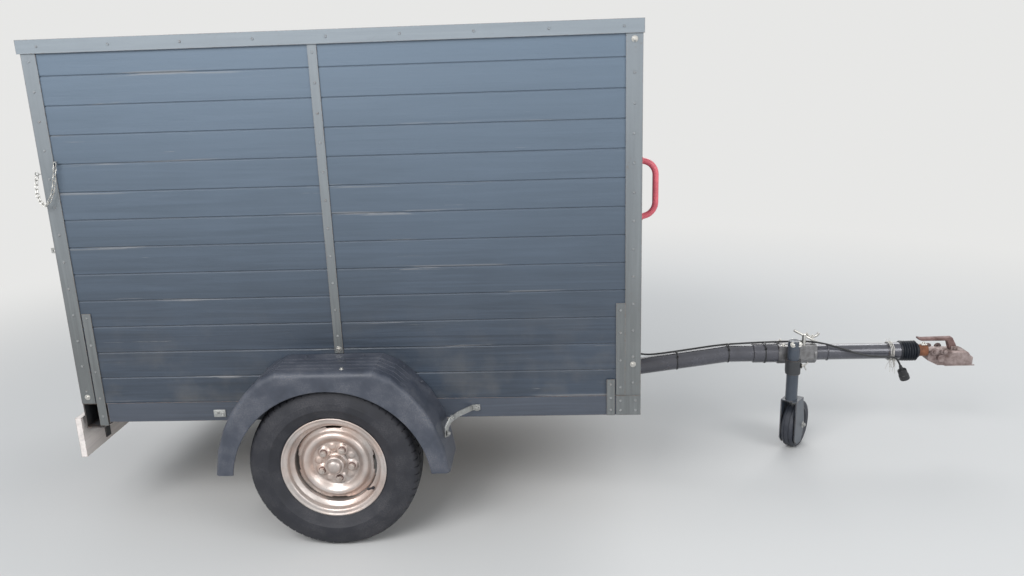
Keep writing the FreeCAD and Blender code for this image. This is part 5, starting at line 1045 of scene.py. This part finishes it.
class TRAILER_OT_fixings(bpy.types.Operator):
    """Drive the screws of posts, strips, trims and door, and the frame's bolts"""
    bl_idname = "trailer.fixings"
    bl_label = "Screws and bolts"

    def execute(self, context):
        sizes = context.scene.trailer_sizes
        boards = [FLOOR + BOARD_PITCH * (index + 0.5) for index in range(13)]
        for name, sign in SIDES.items():
            self.side(name, sign, boards, sizes)
        self.ends(boards, sizes.screw_head)
        self.door(boards, sizes)
        return {"FINISHED"}

    def side(self, name, sign, boards, sizes):
        """Painted screws of one side, and its bright bolts."""
        proud = SIDE + WALL
        rows = [
            # place along the box, outer face, heights
            (AXLE_X + 0.010, SIDE, [height for height in boards if height > FLOOR + 0.19]),
            (REAR + 0.0245, SIDE, boards),
            (REAR + 0.0695, SIDE, [FLOOR - 0.05, FLOOR + 0.02, FLOOR + 0.12, FLOOR + 0.22, FLOOR + 0.32]),
            (FRONT - 0.027, SIDE, boards),
            (FRONT - 0.0695, SIDE, [FLOOR + 0.03, FLOOR + 0.13, FLOOR + 0.23, FLOOR + 0.31]),
            (FRONT - 0.104, proud, [DECK + 0.02, DECK + 0.065, DECK + 0.115]),
            (FRONT - 0.070, proud, [DECK + 0.018, DECK + 0.054]),
            (FRONT - 0.018, proud, [DECK + 0.018, DECK + 0.054]),
        ]
        with new_piece(f"side_screws_{name}", "screw_paint") as bm:
            for along, out, heights in rows:
                for height in heights:
                    screw_head(bm, (along, sign * out, height), (0, sign, 0), sizes.screw_head)
            for step in range(9):
                along = REAR + 0.06 + step * (FRONT - REAR - 0.12) / 8
                screw_head(bm, (along, sign * PROUD, TOP - 0.022), (0, sign, 0), sizes.screw_head)
        with new_piece(f"side_bolts_{name}", "bright_zinc") as bm:
            for along, height in ((FRONT - 0.027, TOP - 0.062), (FRONT - 0.027, FLOOR + 0.115),
                                  (AXLE_X + 0.010, FLOOR + 0.19), (REAR + 0.0245, FLOOR + 0.025)):
                hex_head(bm, (along, sign * SIDE, height), (0, sign, 0), sizes.bolt_across * 0.8, tall=0.004)

    def ends(self, boards, across):
        """Screws of the front posts, the front and rear trims and the light board."""
        with new_piece("end_screws", "screw_paint") as bm:
            for height in boards:
                for sign in SIDES.values():
                    screw_head(bm, (FRONT, sign * (SIDE - 0.027), height), (1, 0, 0), across)
            for step in range(6):
                side = (step / 5 - 0.5) * 2 * (SIDE - 0.05)
                screw_head(bm, (FRONT, side, TOP - 0.022), (1, 0, 0), across)
                screw_head(bm, (TRIM_BACK, side, TOP - 0.022), (-1, 0, 0), across)
            for sign in SIDES.values():
                for height in boards[::2]:
                    screw_head(bm, (REAR, sign * (SIDE - 0.016), height), (-1, 0, 0), across)
        with new_piece("light_board_bolts", "bright_zinc") as bm:
            board_middle = middle("light_board", Z)
            for sign in SIDES.values():
                for up in (-0.0198, 0.0198):
                    hex_head(bm, (BOARD_BACK, sign * 0.270, board_middle + up), (-1, 0, 0), across * 1.1)

    def door(self, boards, sizes):
        """Screws of the door's bars, and the bolts of its straps, plates and hasp."""
        across = sizes.screw_head
        edge = high("door_frame", Y) - 0.025
        low_bar, high_bar = low("door_frame", Z) + 0.025, high("door_frame", Z) - 0.025
        heights = (low_bar, (low_bar + high_bar) / 2, high_bar)
        with new_piece("door_screws", "screw_paint", "door") as bm:
            for height in boards[1:-1]:
                for side in (-edge, edge):
                    if all(abs(height - strap) > 0.03 for strap in heights):
                        screw_head(bm, (REAR, side, height), (-1, 0, 0), across)
            for height in heights:
                for step in range(5):
                    screw_head(bm, (REAR, -edge + 0.02 + step * 0.15, height), (-1, 0, 0), across)
        strap_face = REAR - WALL
        with new_piece("door_bolts", "bright_zinc", "door") as bm:
            for height in heights:
                for step in range(4):
                    hex_head(bm, (strap_face, edge - 0.012 - step * 0.072, height), (-1, 0, 0), across,
                             tall=0.004)
            for side in (0.025, 0.060):
                for up in (-0.012, 0.012):
                    hex_head(bm, (strap_face, high("door_latch", Y) - side, middle("door_latch", Z) + up),
                             (-1, 0, 0), across, tall=0.004)
        with new_piece("hinge_plate_screws", "bright_zinc") as bm:
            for height in heights:
                for up in (-0.015, 0.015):
                    for side in (0.009, 0.026):
                        screw_head(bm, (strap_face, high("hinge_plates", Y) - side, height + up), (-1, 0, 0),
                                   across * 0.9)


class TRAILER_OT_grab_handle(bpy.types.Operator):
    """Bow the red grab handle and give its feet rounded screw plates"""
    bl_idname = "trailer.grab_handle"
    bl_label = "Grab handle"

    def execute(self, context):
        wall, reach = low("grab_handle", X), high("grab_handle", X)
        foot, head = low("grab_handle", Z) + 0.025, high("grab_handle", Z) - 0.025
        side = middle("grab_handle", Y)
        thick = 0.0108
        out = reach - thick
        bow = [(wall + 0.004, foot), (out - 0.030, foot), (out, foot + 0.030), (out, foot + 0.072)]
        bow += [(along, foot + head - height) for along, height in reversed(bow)]
        wire("grab_handle_bow", [[(along, side, height) for along, height in bow]], thick, "red_plastic",
             replaces=["grab_handle"])
        with new_piece("grab_handle_feet", "red_plastic", replaces=["grab_handle"]) as bm:
            for height in (foot, head):
                plate(bm, (wall, side - 0.024, height - 0.025), (wall + 0.008, side + 0.024, height + 0.025),
                      0.0035, 3)
                lathe(bm, [(0.006, 0.019), (0.010, 0.0165), (0.016, 0.0135), (0.024, 0.0118)],
                      (wall, side, height), (1, 0, 0), 24)
        with new_piece("grab_handle_screws", "bright_zinc") as bm:
            corners = [(across, up) for across in (-0.018, 0.018) for up in (-0.018, 0.018)]
            for height in (foot, head):
                for across, up in corners:
                    screw_head(bm, (wall + 0.0078, side + across, height + up), (1, 0, 0), 0.0065)
        return {"FINISHED"}


class TRAILER_OT_chain(bpy.types.Operator):
    """Hang the short chain between its two eye screws at the rear right corner"""
    bl_idname = "trailer.chain"
    bl_label = "Chain"

    def execute(self, context):
        sizes = context.scene.trailer_sizes
        long, thick = sizes.link_long, 0.0014
        side_eye = Vector((REAR + 0.058, -SIDE - 0.008, 1.341))
        rear_eye = Vector((REAR - 0.030, -SIDE + 0.024, 1.300))
        places = [side_eye, (REAR + 0.054, -0.620, 1.296), (REAR + 0.040, -0.624, 1.236),
                  (REAR + 0.008, -0.628, 1.188), (REAR - 0.024, -0.610, 1.226), (REAR - 0.034, -0.590, 1.262),
                  rear_eye]
        with new_piece("chain_links", "bright_zinc", sharp=60.0) as bm:
            links = spaced(places, long - 4 * thick)
            for index, (start, end) in enumerate(zip(links, links[1:])):
                along = (end - start).normalized()
                across = along.cross(Vector((0.3, 0.9, 0.2))).normalized()
                if index % 2:
                    across = along.cross(across)
                self.link(bm, (start + end) / 2, along, across, long, thick)
        with new_piece("chain_eyes", "galvanised") as bm:
            for eye, inward in ((side_eye, Vector((0, 1, 0))), (rear_eye, Vector((1, 0, 0)))):
                ring(bm, eye, (0, 0, 1) if inward.y else (0, 1, 0), 0.006, 0.0016, 20, 8)
                rod(bm, eye + inward * 0.006, eye + inward * (0.008 if inward.y else 0.030), 0.0017, 10)
        return {"FINISHED"}

    def link(self, bm, centre, along, across, long, thick):
        """Oblong link: a ring drawn out along the chain."""
        before = set(bm.verts)
        out = long * 0.27
        ring(bm, centre, along.cross(across), out, thick, 12, 6)
        for vert in set(bm.verts) - before:
            share = (vert.co - centre).dot(along)
            vert.co += along * math.copysign(long / 2 - out - thick, share)


class TRAILER_OT_lamps(bpy.types.Operator):
    """Build the rear lamps and reflectors on the light board"""
    bl_idname = "trailer.lamps"
    bl_label = "Lamps and reflectors"

    def execute(self, context):
        back, face = low("rear_lamps", X), high("rear_lamps", X)
        foot, head = low("rear_lamps", Z), high("rear_lamps", Z)
        outer = high("rear_lamps", Y)
        wide = 0.150
        inner = outer - wide
        for name, sign in SIDES.items():
            with new_piece(f"lamp_base_{name}", "cable_black", replaces=["rear_lamps"]) as bm:
                plate(bm, (face - 0.012, sign * inner, foot), (face, sign * outer, head), 0.003, 3)
            parts = [
                # finish, from and to as shares of the width from the box's middle outwards
                ("lamp_lens", 0.03, 0.61),
                ("amber_lens", 0.63, 0.97),
            ]
            for finish, start, end in parts:
                with new_piece(f"{finish}_{name}", finish, replaces=["rear_lamps"]) as bm:
                    near, far = inner + start * wide, inner + end * wide
                    front = back + 0.0022
                    plate(bm, (front, sign * near, foot + 0.004), (face - 0.010, sign * far, head - 0.004),
                          0.005, 3)
                    ribs = int((far - near) / 0.006)
                    for rib in range(1, ribs):
                        side = sign * (near + (far - near) * rib / ribs)
                        plate(bm, (front - 0.0006, side - 0.0009, foot + 0.012),
                              (front + 0.002, side + 0.0009, head - 0.012), 0.0004, 1)
            with new_piece(f"lamp_screws_{name}", "bright_zinc") as bm:
                for share in (0.12, 0.88):
                    screw_head(bm, (back + 0.0022, sign * (inner + share * wide), foot + 0.009), (-1, 0, 0),
                               0.006)
            self.reflector(name, sign)
        return {"FINISHED"}

    def reflector(self, name, sign):
        """Triangle with a raised border, point upwards."""
        with new_piece(f"reflector_{name}", "reflector_red") as bm:
            place = Vector((BOARD_BACK, sign * (SIDE - 0.072), middle("light_board", Z) - 0.010))
            out, thick = 0.060, 0.008
            matrix = (Matrix.Translation(place - Vector((thick / 2, 0, 0)))
                      @ Matrix.Rotation(-math.pi / 2, 4, "Y"))
            verts = bmesh.ops.create_cone(bm, cap_ends=True, segments=3, radius1=out, radius2=out * 0.97,
                                          depth=thick, matrix=matrix)["verts"]
            peak = max(verts, key=lambda vert: abs(vert.co.z - place.z))
            turn = 0.0 if peak.co.z > place.z else math.pi
            bmesh.ops.rotate(bm, verts=verts, cent=place, matrix=Matrix.Rotation(turn, 3, "X"))
            corners = [edge for edge in bm.edges
                       if abs((edge.verts[0].co - edge.verts[1].co).normalized().x) > 0.9]
            round_edges(bm, corners, 0.008, 4)
            front = min(bm.faces, key=lambda face: face.calc_center_median().x)
            bmesh.ops.inset_individual(bm, faces=[front], thickness=0.006, depth=0.0)
            bmesh.ops.translate(bm, verts=front.verts[:], vec=(0.0025, 0, 0))


class TRAILER_OT_drawbar(bpy.types.Operator):
    """Add the drawbar's cable ties, weld beads, rope lashing, bellows and saddle fittings"""
    bl_idname = "trailer.drawbar"
    bl_label = "Drawbar fittings"

    def execute(self, context):
        sizes = context.scene.trailer_sizes
        self.ties()
        self.welds()
        self.lashing()
        self.bellows()
        self.saddle(sizes.bolt_across)
        return {"FINISHED"}

    def bar_height(self, along):
        """Height of the drawbar's centre line at a place along it."""
        start, end = FRONT + 0.016, FRONT + 0.431
        return BAR_LOW + (BAR_Z - BAR_LOW) * clamp((along - start) / (end - start))

    def ties(self):
        """Bands round the bar and the cable on it, each with its block and cut tail."""
        steps, wide, thick, over_cable = 40, 0.0045, 0.0013, 0.0085
        block_half, tail = Vector((0.004, 0.003, 0.0035)), Vector((0.001, -0.011, 0.012))
        with new_piece("cable_tie_bands", "cable_black") as bm:
            # place along the bar, and how far out the band lies there, on the bar or on its sleeve
            for along, out in ((0.5305, 0.0358), (0.7425, 0.0358), (0.8935, 0.0408)):
                centre = Vector((along, 0.0, self.bar_height(along)))
                verts = []
                for step in range(steps):
                    angle = math.tau * step / steps
                    off_top = abs(angle - math.pi / 2)
                    rise = max(0.0, math.cos(off_top * 2.2)) if off_top < 0.72 else 0.0
                    verts.append(bm.verts.new(centre + off_bar(angle) * (out + over_cable * rise)))
                edges = [bm.edges.new((verts[index - 1], verts[index])) for index in range(steps)]
                band = bmesh.ops.extrude_edge_only(bm, edges=edges)["geom"]
                bmesh.ops.translate(bm, verts=only(BMVert, band), vec=(wide, 0, 0))
                faces = only(BMFace, band)
                bmesh.ops.recalc_face_normals(bm, faces=faces)
                bmesh.ops.solidify(bm, geom=faces, thickness=-thick)
                block = centre + Vector((wide / 2, -out * 0.78, out * 0.68))
                plate(bm, block - block_half, block + block_half, 0.001, 1)
                rod(bm, block, block + tail, 0.0013, 8)

    def welds(self):
        """Uneven weld beads round the tube joints."""
        with new_piece("weld_beads", "bar_paint", sharp=70.0) as bm:
            for along, out in ((low("drawbar_sleeve", X), 0.0375), (high("jockey_saddle", X), 0.0345),
                               (low("coupling_tube", X) + 0.205, 0.0335)):
                before = set(bm.verts)
                ring(bm, (along, 0.0, BAR_Z), (1, 0, 0), out, 0.0028, 72, 6)
                for vert in set(bm.verts) - before:
                    angle = math.atan2(vert.co.z - BAR_Z, vert.co.y)
                    vert.co.x += 0.0005 * math.sin(angle * 23.0) + 0.0004 * math.sin(angle * 9.0 + along * 40)

    def lashing(self):
        """Pale rope wound round the collar, with frayed ends hanging from it."""
        draw = random.Random(11)
        out, turns, start, lead = 0.0376, 3, 1.4030, 0.0062
        steps = 10
        coil = []
        for step in range(turns * steps + 1):
            reach = out / math.cos(math.pi / steps) + draw.uniform(0.0, 0.0015)
            along = start + lead * step / steps + draw.uniform(-0.0015, 0.0015)
            coil.append(Vector((along, 0.0, BAR_Z)) + off_bar(math.tau * step / steps) * reach)
        wire("rope_lashing", [coil], 0.0015, "rope")
        strands = []
        for strand in range(16):
            angle = math.radians(draw.uniform(178, 262))
            place = Vector((start + draw.uniform(0.0, 0.020), 0.0, BAR_Z)) + off_bar(angle) * (out + 0.001)
            long = draw.uniform(0.020, 0.075)
            run = [place]
            for step in range(1, 5):
                away = Vector((draw.uniform(-0.006, 0.006),
                               -0.0035 if step == 1 else draw.uniform(-0.003, 0.002), -long / 4))
                run.append(run[-1] + away)
            strands.append(run)
        for strand in range(9):
            angle = math.radians(draw.uniform(60, 175))
            place = Vector((start + draw.uniform(0.0, 0.020), 0.0, BAR_Z)) + off_bar(angle) * out
            away = Vector((draw.uniform(-0.4, 0.4), 0.0, 0.0)) + off_bar(angle)
            bend = Vector((draw.uniform(-0.5, 0.5), 0.0, 0.3))
            strands.append([place, place + away * 0.006, place + (away + bend) * draw.uniform(0.009, 0.015)])
        wire("rope_frayed_ends", strands, 0.0008, "rope")

    def bellows(self):
        """Moulded bellows: a cuff at each end and six soft folds."""
        start, far = low("bellows", X), high("bellows", X) - low("bellows", X)
        out, deep, folds, cuff, hang = 0.0420, 0.0095, 6, 0.008, 0.0012
        outline = [(0.0, out - deep - 0.003), (0.0, out - 0.0035), (0.0015, out - 0.0015),
                   (cuff - 0.0015, out - 0.0015), (cuff, out - deep + 0.001)]
        for step in range(1, folds * 8):
            share = step / (folds * 8)
            wave = 0.5 - 0.5 * math.cos(math.tau * folds * share)
            outline.append((cuff + (far - 2 * cuff) * share, out - deep + deep * wave ** 0.7))
        outline += [(far - cuff, out - deep), (far - cuff + 0.0015, 0.0315), (far - 0.001, 0.0305),
                    (far, 0.0285), (far, 0.0245)]
        bm = bmesh.new()
        lathe(bm, outline, (start, 0.0, BAR_Z), (1, 0, 0), 56)
        for vert in bm.verts:
            vert.co.z -= hang * math.sin(math.pi * (vert.co.x - start) / far)
        piece = finish_piece("gaiter", bm, "bellows_rubber", sharp=70.0, replaces=["bellows"])
        thick = piece.modifiers.new("wall", "SOLIDIFY")
        thick.thickness = 0.0018
        thick.offset = -1.0
        with new_piece("gaiter_clips", "cable_black") as bm:
            ring(bm, (start + 0.005, 0.0, BAR_Z), (1, 0, 0), out - 0.0012, 0.0012, 48, 6)
            ring(bm, (start + far - 0.004, 0.0, BAR_Z), (1, 0, 0), 0.0308, 0.0012, 48, 6)

    def saddle(self, across):
        """Bolts through the saddle, the wing nut on its front ring and the clamp screw's wings."""
        start, end = low("jockey_saddle", X), high("jockey_saddle", X)
        with new_piece("saddle_bolts", "bright_zinc") as bm:
            for along in (start + 0.020, start + 0.072):
                for side in (-0.028, 0.028):
                    hex_head(bm, (along, side, BAR_Z + 0.040), (0, 0, 1), across * 0.9, stud=0.003)
            stud = Vector((end - 0.006, 0.016, BAR_Z + 0.038))
            rod(bm, stud, stud + Vector((0, 0, 0.034)), 0.003, 12)
            lathe(bm, [(0.020, 0.0), (0.020, 0.0075), (0.029, 0.0060), (0.029, 0.0)], stud, (0, 0, 1), 20)
            for turn in (-1, 1):
                wing = [stud + Vector((turn * away, 0, up))
                        for away, up in ((0.005, 0.023), (0.013, 0.026), (0.021, 0.033), (0.026, 0.040))]
                for first, last, wide in zip(wing, wing[1:], (0.0036, 0.0048, 0.0054)):
                    rod(bm, first, last, wide, 14, wide + 0.0006)
        with new_piece("clamp_lever", "bright_zinc") as bm:
            screw = Vector((middle("jockey_clamp", X) + 0.030, low("jockey_clamp", Y) + 0.020, 0.378))
            hex_head(bm, screw, (1, 0, 0), across * 0.9, tall=0.008)
            for tip in ((0.026, -0.004, 0.016), (0.022, 0.004, -0.020)):
                rod(bm, screw + Vector((0.012, 0, 0)), screw + Vector(tip), 0.0032, 12)


class TRAILER_OT_coupling(bpy.types.Operator):
    """Round the coupling's casting and lever, and add its bolts, lips, pivot and stop"""
    bl_idname = "trailer.coupling"
    bl_label = "Coupling"

    def execute(self, context):
        across = context.scene.trailer_sizes.bolt_across
        softened("coupling_casting", "coupling_head", "worn_zinc", "chassis", 0.005)
        softened("coupling_handle", "coupling_lever", "lever_steel", "chassis", 0.0025)
        start, end = low("coupling_head", X), high("coupling_head", X)
        side = high("coupling_head", Y) - 0.005
        with new_piece("coupling_bolts", "worn_zinc") as bm:
            for sign in SIDES.values():
                for along in (start + 0.020, start + 0.060):
                    hex_head(bm, (along, sign * side, BAR_Z + 0.004), (0, sign, 0), across * 1.2, stud=0.002)
        foot = low("coupling_head", Z)
        with new_piece("coupling_lip", "worn_zinc") as bm:
            for sign in SIDES.values():
                plate(bm, (start + 0.062, sign * (side + 0.0015), foot),
                      (end - 0.006, sign * (side + 0.0048), foot + 0.005), 0.0015)
        pivot = Vector((end - 0.085, 0.0, high("coupling_head", Z) + 0.004))
        with new_piece("lever_pivot", "worn_zinc") as bm:
            rod(bm, pivot - Vector((0, 0.019, 0)), pivot + Vector((0, 0.019, 0)), 0.0055, 20)
            for sign in SIDES.values():
                hex_head(bm, pivot + Vector((0, sign * 0.017, 0)), (0, sign, 0), across * 0.8, tall=0.005)
                plate(bm, pivot + Vector((-0.014, sign * 0.0155 - 0.0025, -0.012)),
                      pivot + Vector((0.014, sign * 0.0155 + 0.0025, 0.009)), 0.002)
        lug = Vector((start - 0.010, 0.0, BAR_Z + 0.024))
        with new_piece("shaft_stop", "bright_zinc") as bm:
            plate(bm, lug - Vector((0.016, 0.009, 0.002)), lug + Vector((0.010, 0.009, 0.005)), 0.002)
            hex_head(bm, lug + Vector((-0.004, 0.0, 0.005)), (0, 0, 1), across * 0.8)
        return {"FINISHED"}


class TRAILER_OT_jockey_wheel(bpy.types.Operator):
    """Turn the jockey wheel's tyre and hub, round its fork and cap its leg"""
    bl_idname = "trailer.jockey_wheel"
    bl_label = "Jockey wheel"

    def execute(self, context):
        across = context.scene.trailer_sizes.bolt_across
        # The fork's swivel at rest, its trail, and the tyre's radius and half width, as in the CAD source.
        turn, trail, out, half = math.radians(53.0), 0.060, 0.100, 0.024
        ahead = Vector((math.cos(turn), math.sin(turn), 0.0))
        axis = Vector((-math.sin(turn), math.cos(turn), 0.0))
        leg = Vector((middle("jockey_leg", X), middle("jockey_leg", Y), 0.0))
        centre = leg + ahead * trail + Vector((0, 0, out))
        self.tyre(centre, axis, out, half)
        self.hub(centre, axis, half)
        softened("jockey_fork_plates", "jockey_fork", "leg_paint", "jockey_fork", 0.0018)
        with new_piece("jockey_axle_nuts", "galvanised", "jockey_fork") as bm:
            for sign in (-1, 1):
                foot = centre + axis * sign * (half + 0.010)
                hex_head(bm, foot, axis * sign, across * 1.1, stud=0.003)
        top, head_out = high("jockey_leg", Z), 0.0242
        with new_piece("jockey_leg_head", "leg_paint", "jockey_leg", slot="bar_paint") as bm:
            lathe(bm, [(0.0215, 0.0), (0.0215, 0.0190), (0.0195, 0.0225), (0.0160, 0.0240), (0.0020, 0.0246),
                       (-0.0120, 0.0248), (-0.0120, 0.0235)], leg + Vector((0, 0, top)), (0, 0, 1), 36)
        with new_piece("jockey_leg_nuts", "bright_zinc", "jockey_leg") as bm:
            for side in (-0.0105, 0.0160):
                foot = Vector((side, 0.001 - math.sqrt(head_out ** 2 - side ** 2), top + 0.010))
                hex_head(bm, leg + foot, (side * 10, -1, 0.25), across * 0.9, stud=0.002)
        return {"FINISHED"}

    def tyre(self, centre, axis, out, half):
        """Solid rubber tyre with two shallow grooves."""
        bead = 0.072
        side = [(0.70, bead), (0.86, bead + 0.002), (0.97, bead + 0.008), (1.0, bead + 0.015),
                (0.95, out - 0.006), (0.80, out - 0.0015), (0.62, out), (0.46, out), (0.43, out - 0.002),
                (0.36, out - 0.002), (0.33, out)]
        outline = [(share * half, reach) for share, reach in side]
        outline += [(-along, reach) for along, reach in reversed(outline)]
        with new_piece("jockey_tyre", "jockey_rubber", "jockey_wheel", replaces=["jockey_wheel"]) as bm:
            lathe(bm, outline, centre, axis, 72, closed=True)

    def hub(self, centre, axis, half):
        """Dished hub with a rim lip, ten ribs and its bushed boss."""
        with new_piece("jockey_hub", "jockey_hub", "jockey_wheel", replaces=["jockey_wheel"],
                       sharp=40.0) as bm:
            outline = [(1.0, 0.0065), (1.0, 0.0190), (0.90, 0.0215), (0.40, 0.0240), (0.36, 0.0300),
                       (0.40, 0.0600), (0.62, 0.0665), (0.92, 0.0690), (0.94, 0.0735)]
            outline = [(share * half, reach) for share, reach in outline]
            outline += [(-along, reach) for along, reach in reversed(outline)]
            lathe(bm, outline, centre, axis, 60, closed=True)
            up = Vector((0, 0, 1))
            side = axis.cross(up)
            for rib in range(10):
                angle = math.tau * rib / 10
                away = up * math.cos(angle) + side * math.sin(angle)
                for sign in (-1, 1):
                    start = centre + axis * sign * half * 0.55
                    rod(bm, start + away * 0.020, start + away * 0.066, 0.0036, 6, 0.0028)


class TRAILER_OT_stage(bpy.types.Operator):
    """Plain pale floor, soft lamps and a pale surround"""
    bl_idname = "trailer.stage"
    bl_label = "Stage and lamps"

    def execute(self, context):
        scene = context.scene
        scene.view_settings.view_transform = "Standard"
        finish = Finish("stage_floor", Roughness=0.9, Specular_IOR_Level=0.2)
        finish.set(Base_Color=tuple(scene.trailer_colours.floor))
        self.horizon(finish)
        bm = bmesh.new()
        bmesh.ops.create_grid(bm, x_segments=1, y_segments=1, size=60.0)
        mesh = bpy.data.meshes.new("stage_floor")
        bm.to_mesh(mesh)
        bm.free()
        floor = bpy.data.objects.new("stage_floor", mesh)
        scene.collection.objects.link(floor)
        mesh.materials.append(finish.material)
        lamps = [
            # name, place, width, height, share of the key lamp's power
            ("key", (-2.6, -4.6, 4.6), 3.6, 3.0, 1.0),
            ("fill", (4.2, -3.8, 3.0), 3.0, 2.4, 0.42),
            ("back", (2.3, 4.4, 4.2), 4.0, 2.6, 0.5),
        ]
        for name, place, wide, tall, share in lamps:
            light = bpy.data.lights.new(name, "AREA")
            light.shape = "RECTANGLE"
            light.size, light.size_y = wide, tall
            light.energy = scene.trailer_sizes.lamp_power * share
            lamp = bpy.data.objects.new(name, light)
            lamp.matrix_world = facing(Vector(place) - Vector((0.0, 0.0, 0.6)), place)
            scene.collection.objects.link(lamp)
        self.surround(scene)
        return {"FINISHED"}

    def horizon(self, finish):
        """Away from the trailer the floor turns into the plain pale surround."""
        away = finish.add("ShaderNodeVectorMath", operation="LENGTH")
        finish.feed(away.inputs[0], finish.place)
        fade = finish.add("ShaderNodeMapRange", interpolation_type="SMOOTHSTEP")
        finish.feed(fade.inputs["Value"], away.outputs["Value"])
        fade.inputs["From Min"].default_value = 2.2
        fade.inputs["From Max"].default_value = 5.5
        pale = finish.add("ShaderNodeEmission")
        pale.inputs["Color"].default_value = (*PALE, 1.0)
        seen = finish.times(fade.outputs["Result"], self.looked_at(finish.nodes, finish.links))
        self.blend(finish.nodes, finish.links, seen, finish.shader, pale, "Material Output")

    def surround(self, scene):
        """Pale where it is looked at, and a cool soft light on the trailer."""
        scene.world = bpy.data.worlds.new("surround")
        scene.world.use_nodes = True
        nodes, links = scene.world.node_tree.nodes, scene.world.node_tree.links
        light, pale = nodes["Background"], nodes.new("ShaderNodeBackground")
        for shader, colour, strength in ((light, SKY, SKY_STRENGTH), (pale, PALE, 1.0)):
            shader.inputs["Color"].default_value = (*colour, 1.0)
            shader.inputs["Strength"].default_value = strength
        self.blend(nodes, links, self.looked_at(nodes, links), light, pale, "World Output")

    def looked_at(self, nodes, links):
        """1 where the camera or a gloss looks at it, 0 for the light that it gives."""
        path, seen = nodes.new("ShaderNodeLightPath"), nodes.new("ShaderNodeMath")
        seen.operation = "MAXIMUM"
        links.new(path.outputs["Is Camera Ray"], seen.inputs[0])
        links.new(path.outputs["Is Glossy Ray"], seen.inputs[1])
        return seen.outputs[0]

    def blend(self, nodes, links, share, first, second, output):
        """Lead a share of one shader and the rest of another to an output."""
        mix = nodes.new("ShaderNodeMixShader")
        links.new(share, mix.inputs[0])
        links.new(first.outputs[0], mix.inputs[1])
        links.new(second.outputs[0], mix.inputs[2])
        links.new(mix.outputs[0], nodes[output].inputs["Surface"])


class TRAILER_PT_panel(bpy.types.Panel):
    """Sizes, colours and the steps in order"""
    bl_label = "Trailer"
    bl_space_type = "VIEW_3D"
    bl_region_type = "UI"
    bl_category = "Trailer"

    def draw(self, context):
        layout = self.layout
        for group in (context.scene.trailer_sizes, context.scene.trailer_colours):
            for name in group.__annotations__:
                layout.prop(group, name)
        for step in STEPS:
            layout.operator(step.bl_idname)


STEPS = [
    TRAILER_OT_camera,
    TRAILER_OT_finishes,
    TRAILER_OT_cable,
    TRAILER_OT_tyres,
    TRAILER_OT_wheels,
    TRAILER_OT_mudguards,
    TRAILER_OT_fixings,
    TRAILER_OT_grab_handle,
    TRAILER_OT_chain,
    TRAILER_OT_lamps,
    TRAILER_OT_drawbar,
    TRAILER_OT_coupling,
    TRAILER_OT_jockey_wheel,
    TRAILER_OT_stage,
]
CLASSES = [TrailerSizes, TrailerColours, *STEPS, TRAILER_PT_panel]


def register():
    for item in CLASSES:
        bpy.utils.register_class(item)
    bpy.types.Scene.trailer_sizes = PointerProperty(type=TrailerSizes)
    bpy.types.Scene.trailer_colours = PointerProperty(type=TrailerColours)


def unregister():
    del bpy.types.Scene.trailer_colours
    del bpy.types.Scene.trailer_sizes
    for item in reversed(CLASSES):
        bpy.utils.unregister_class(item)


def main():
    register()
    for step in STEPS:
        group, name = step.bl_idname.split(".")
        getattr(getattr(bpy.ops, group), name)()


if __name__ == "__main__":
    main()
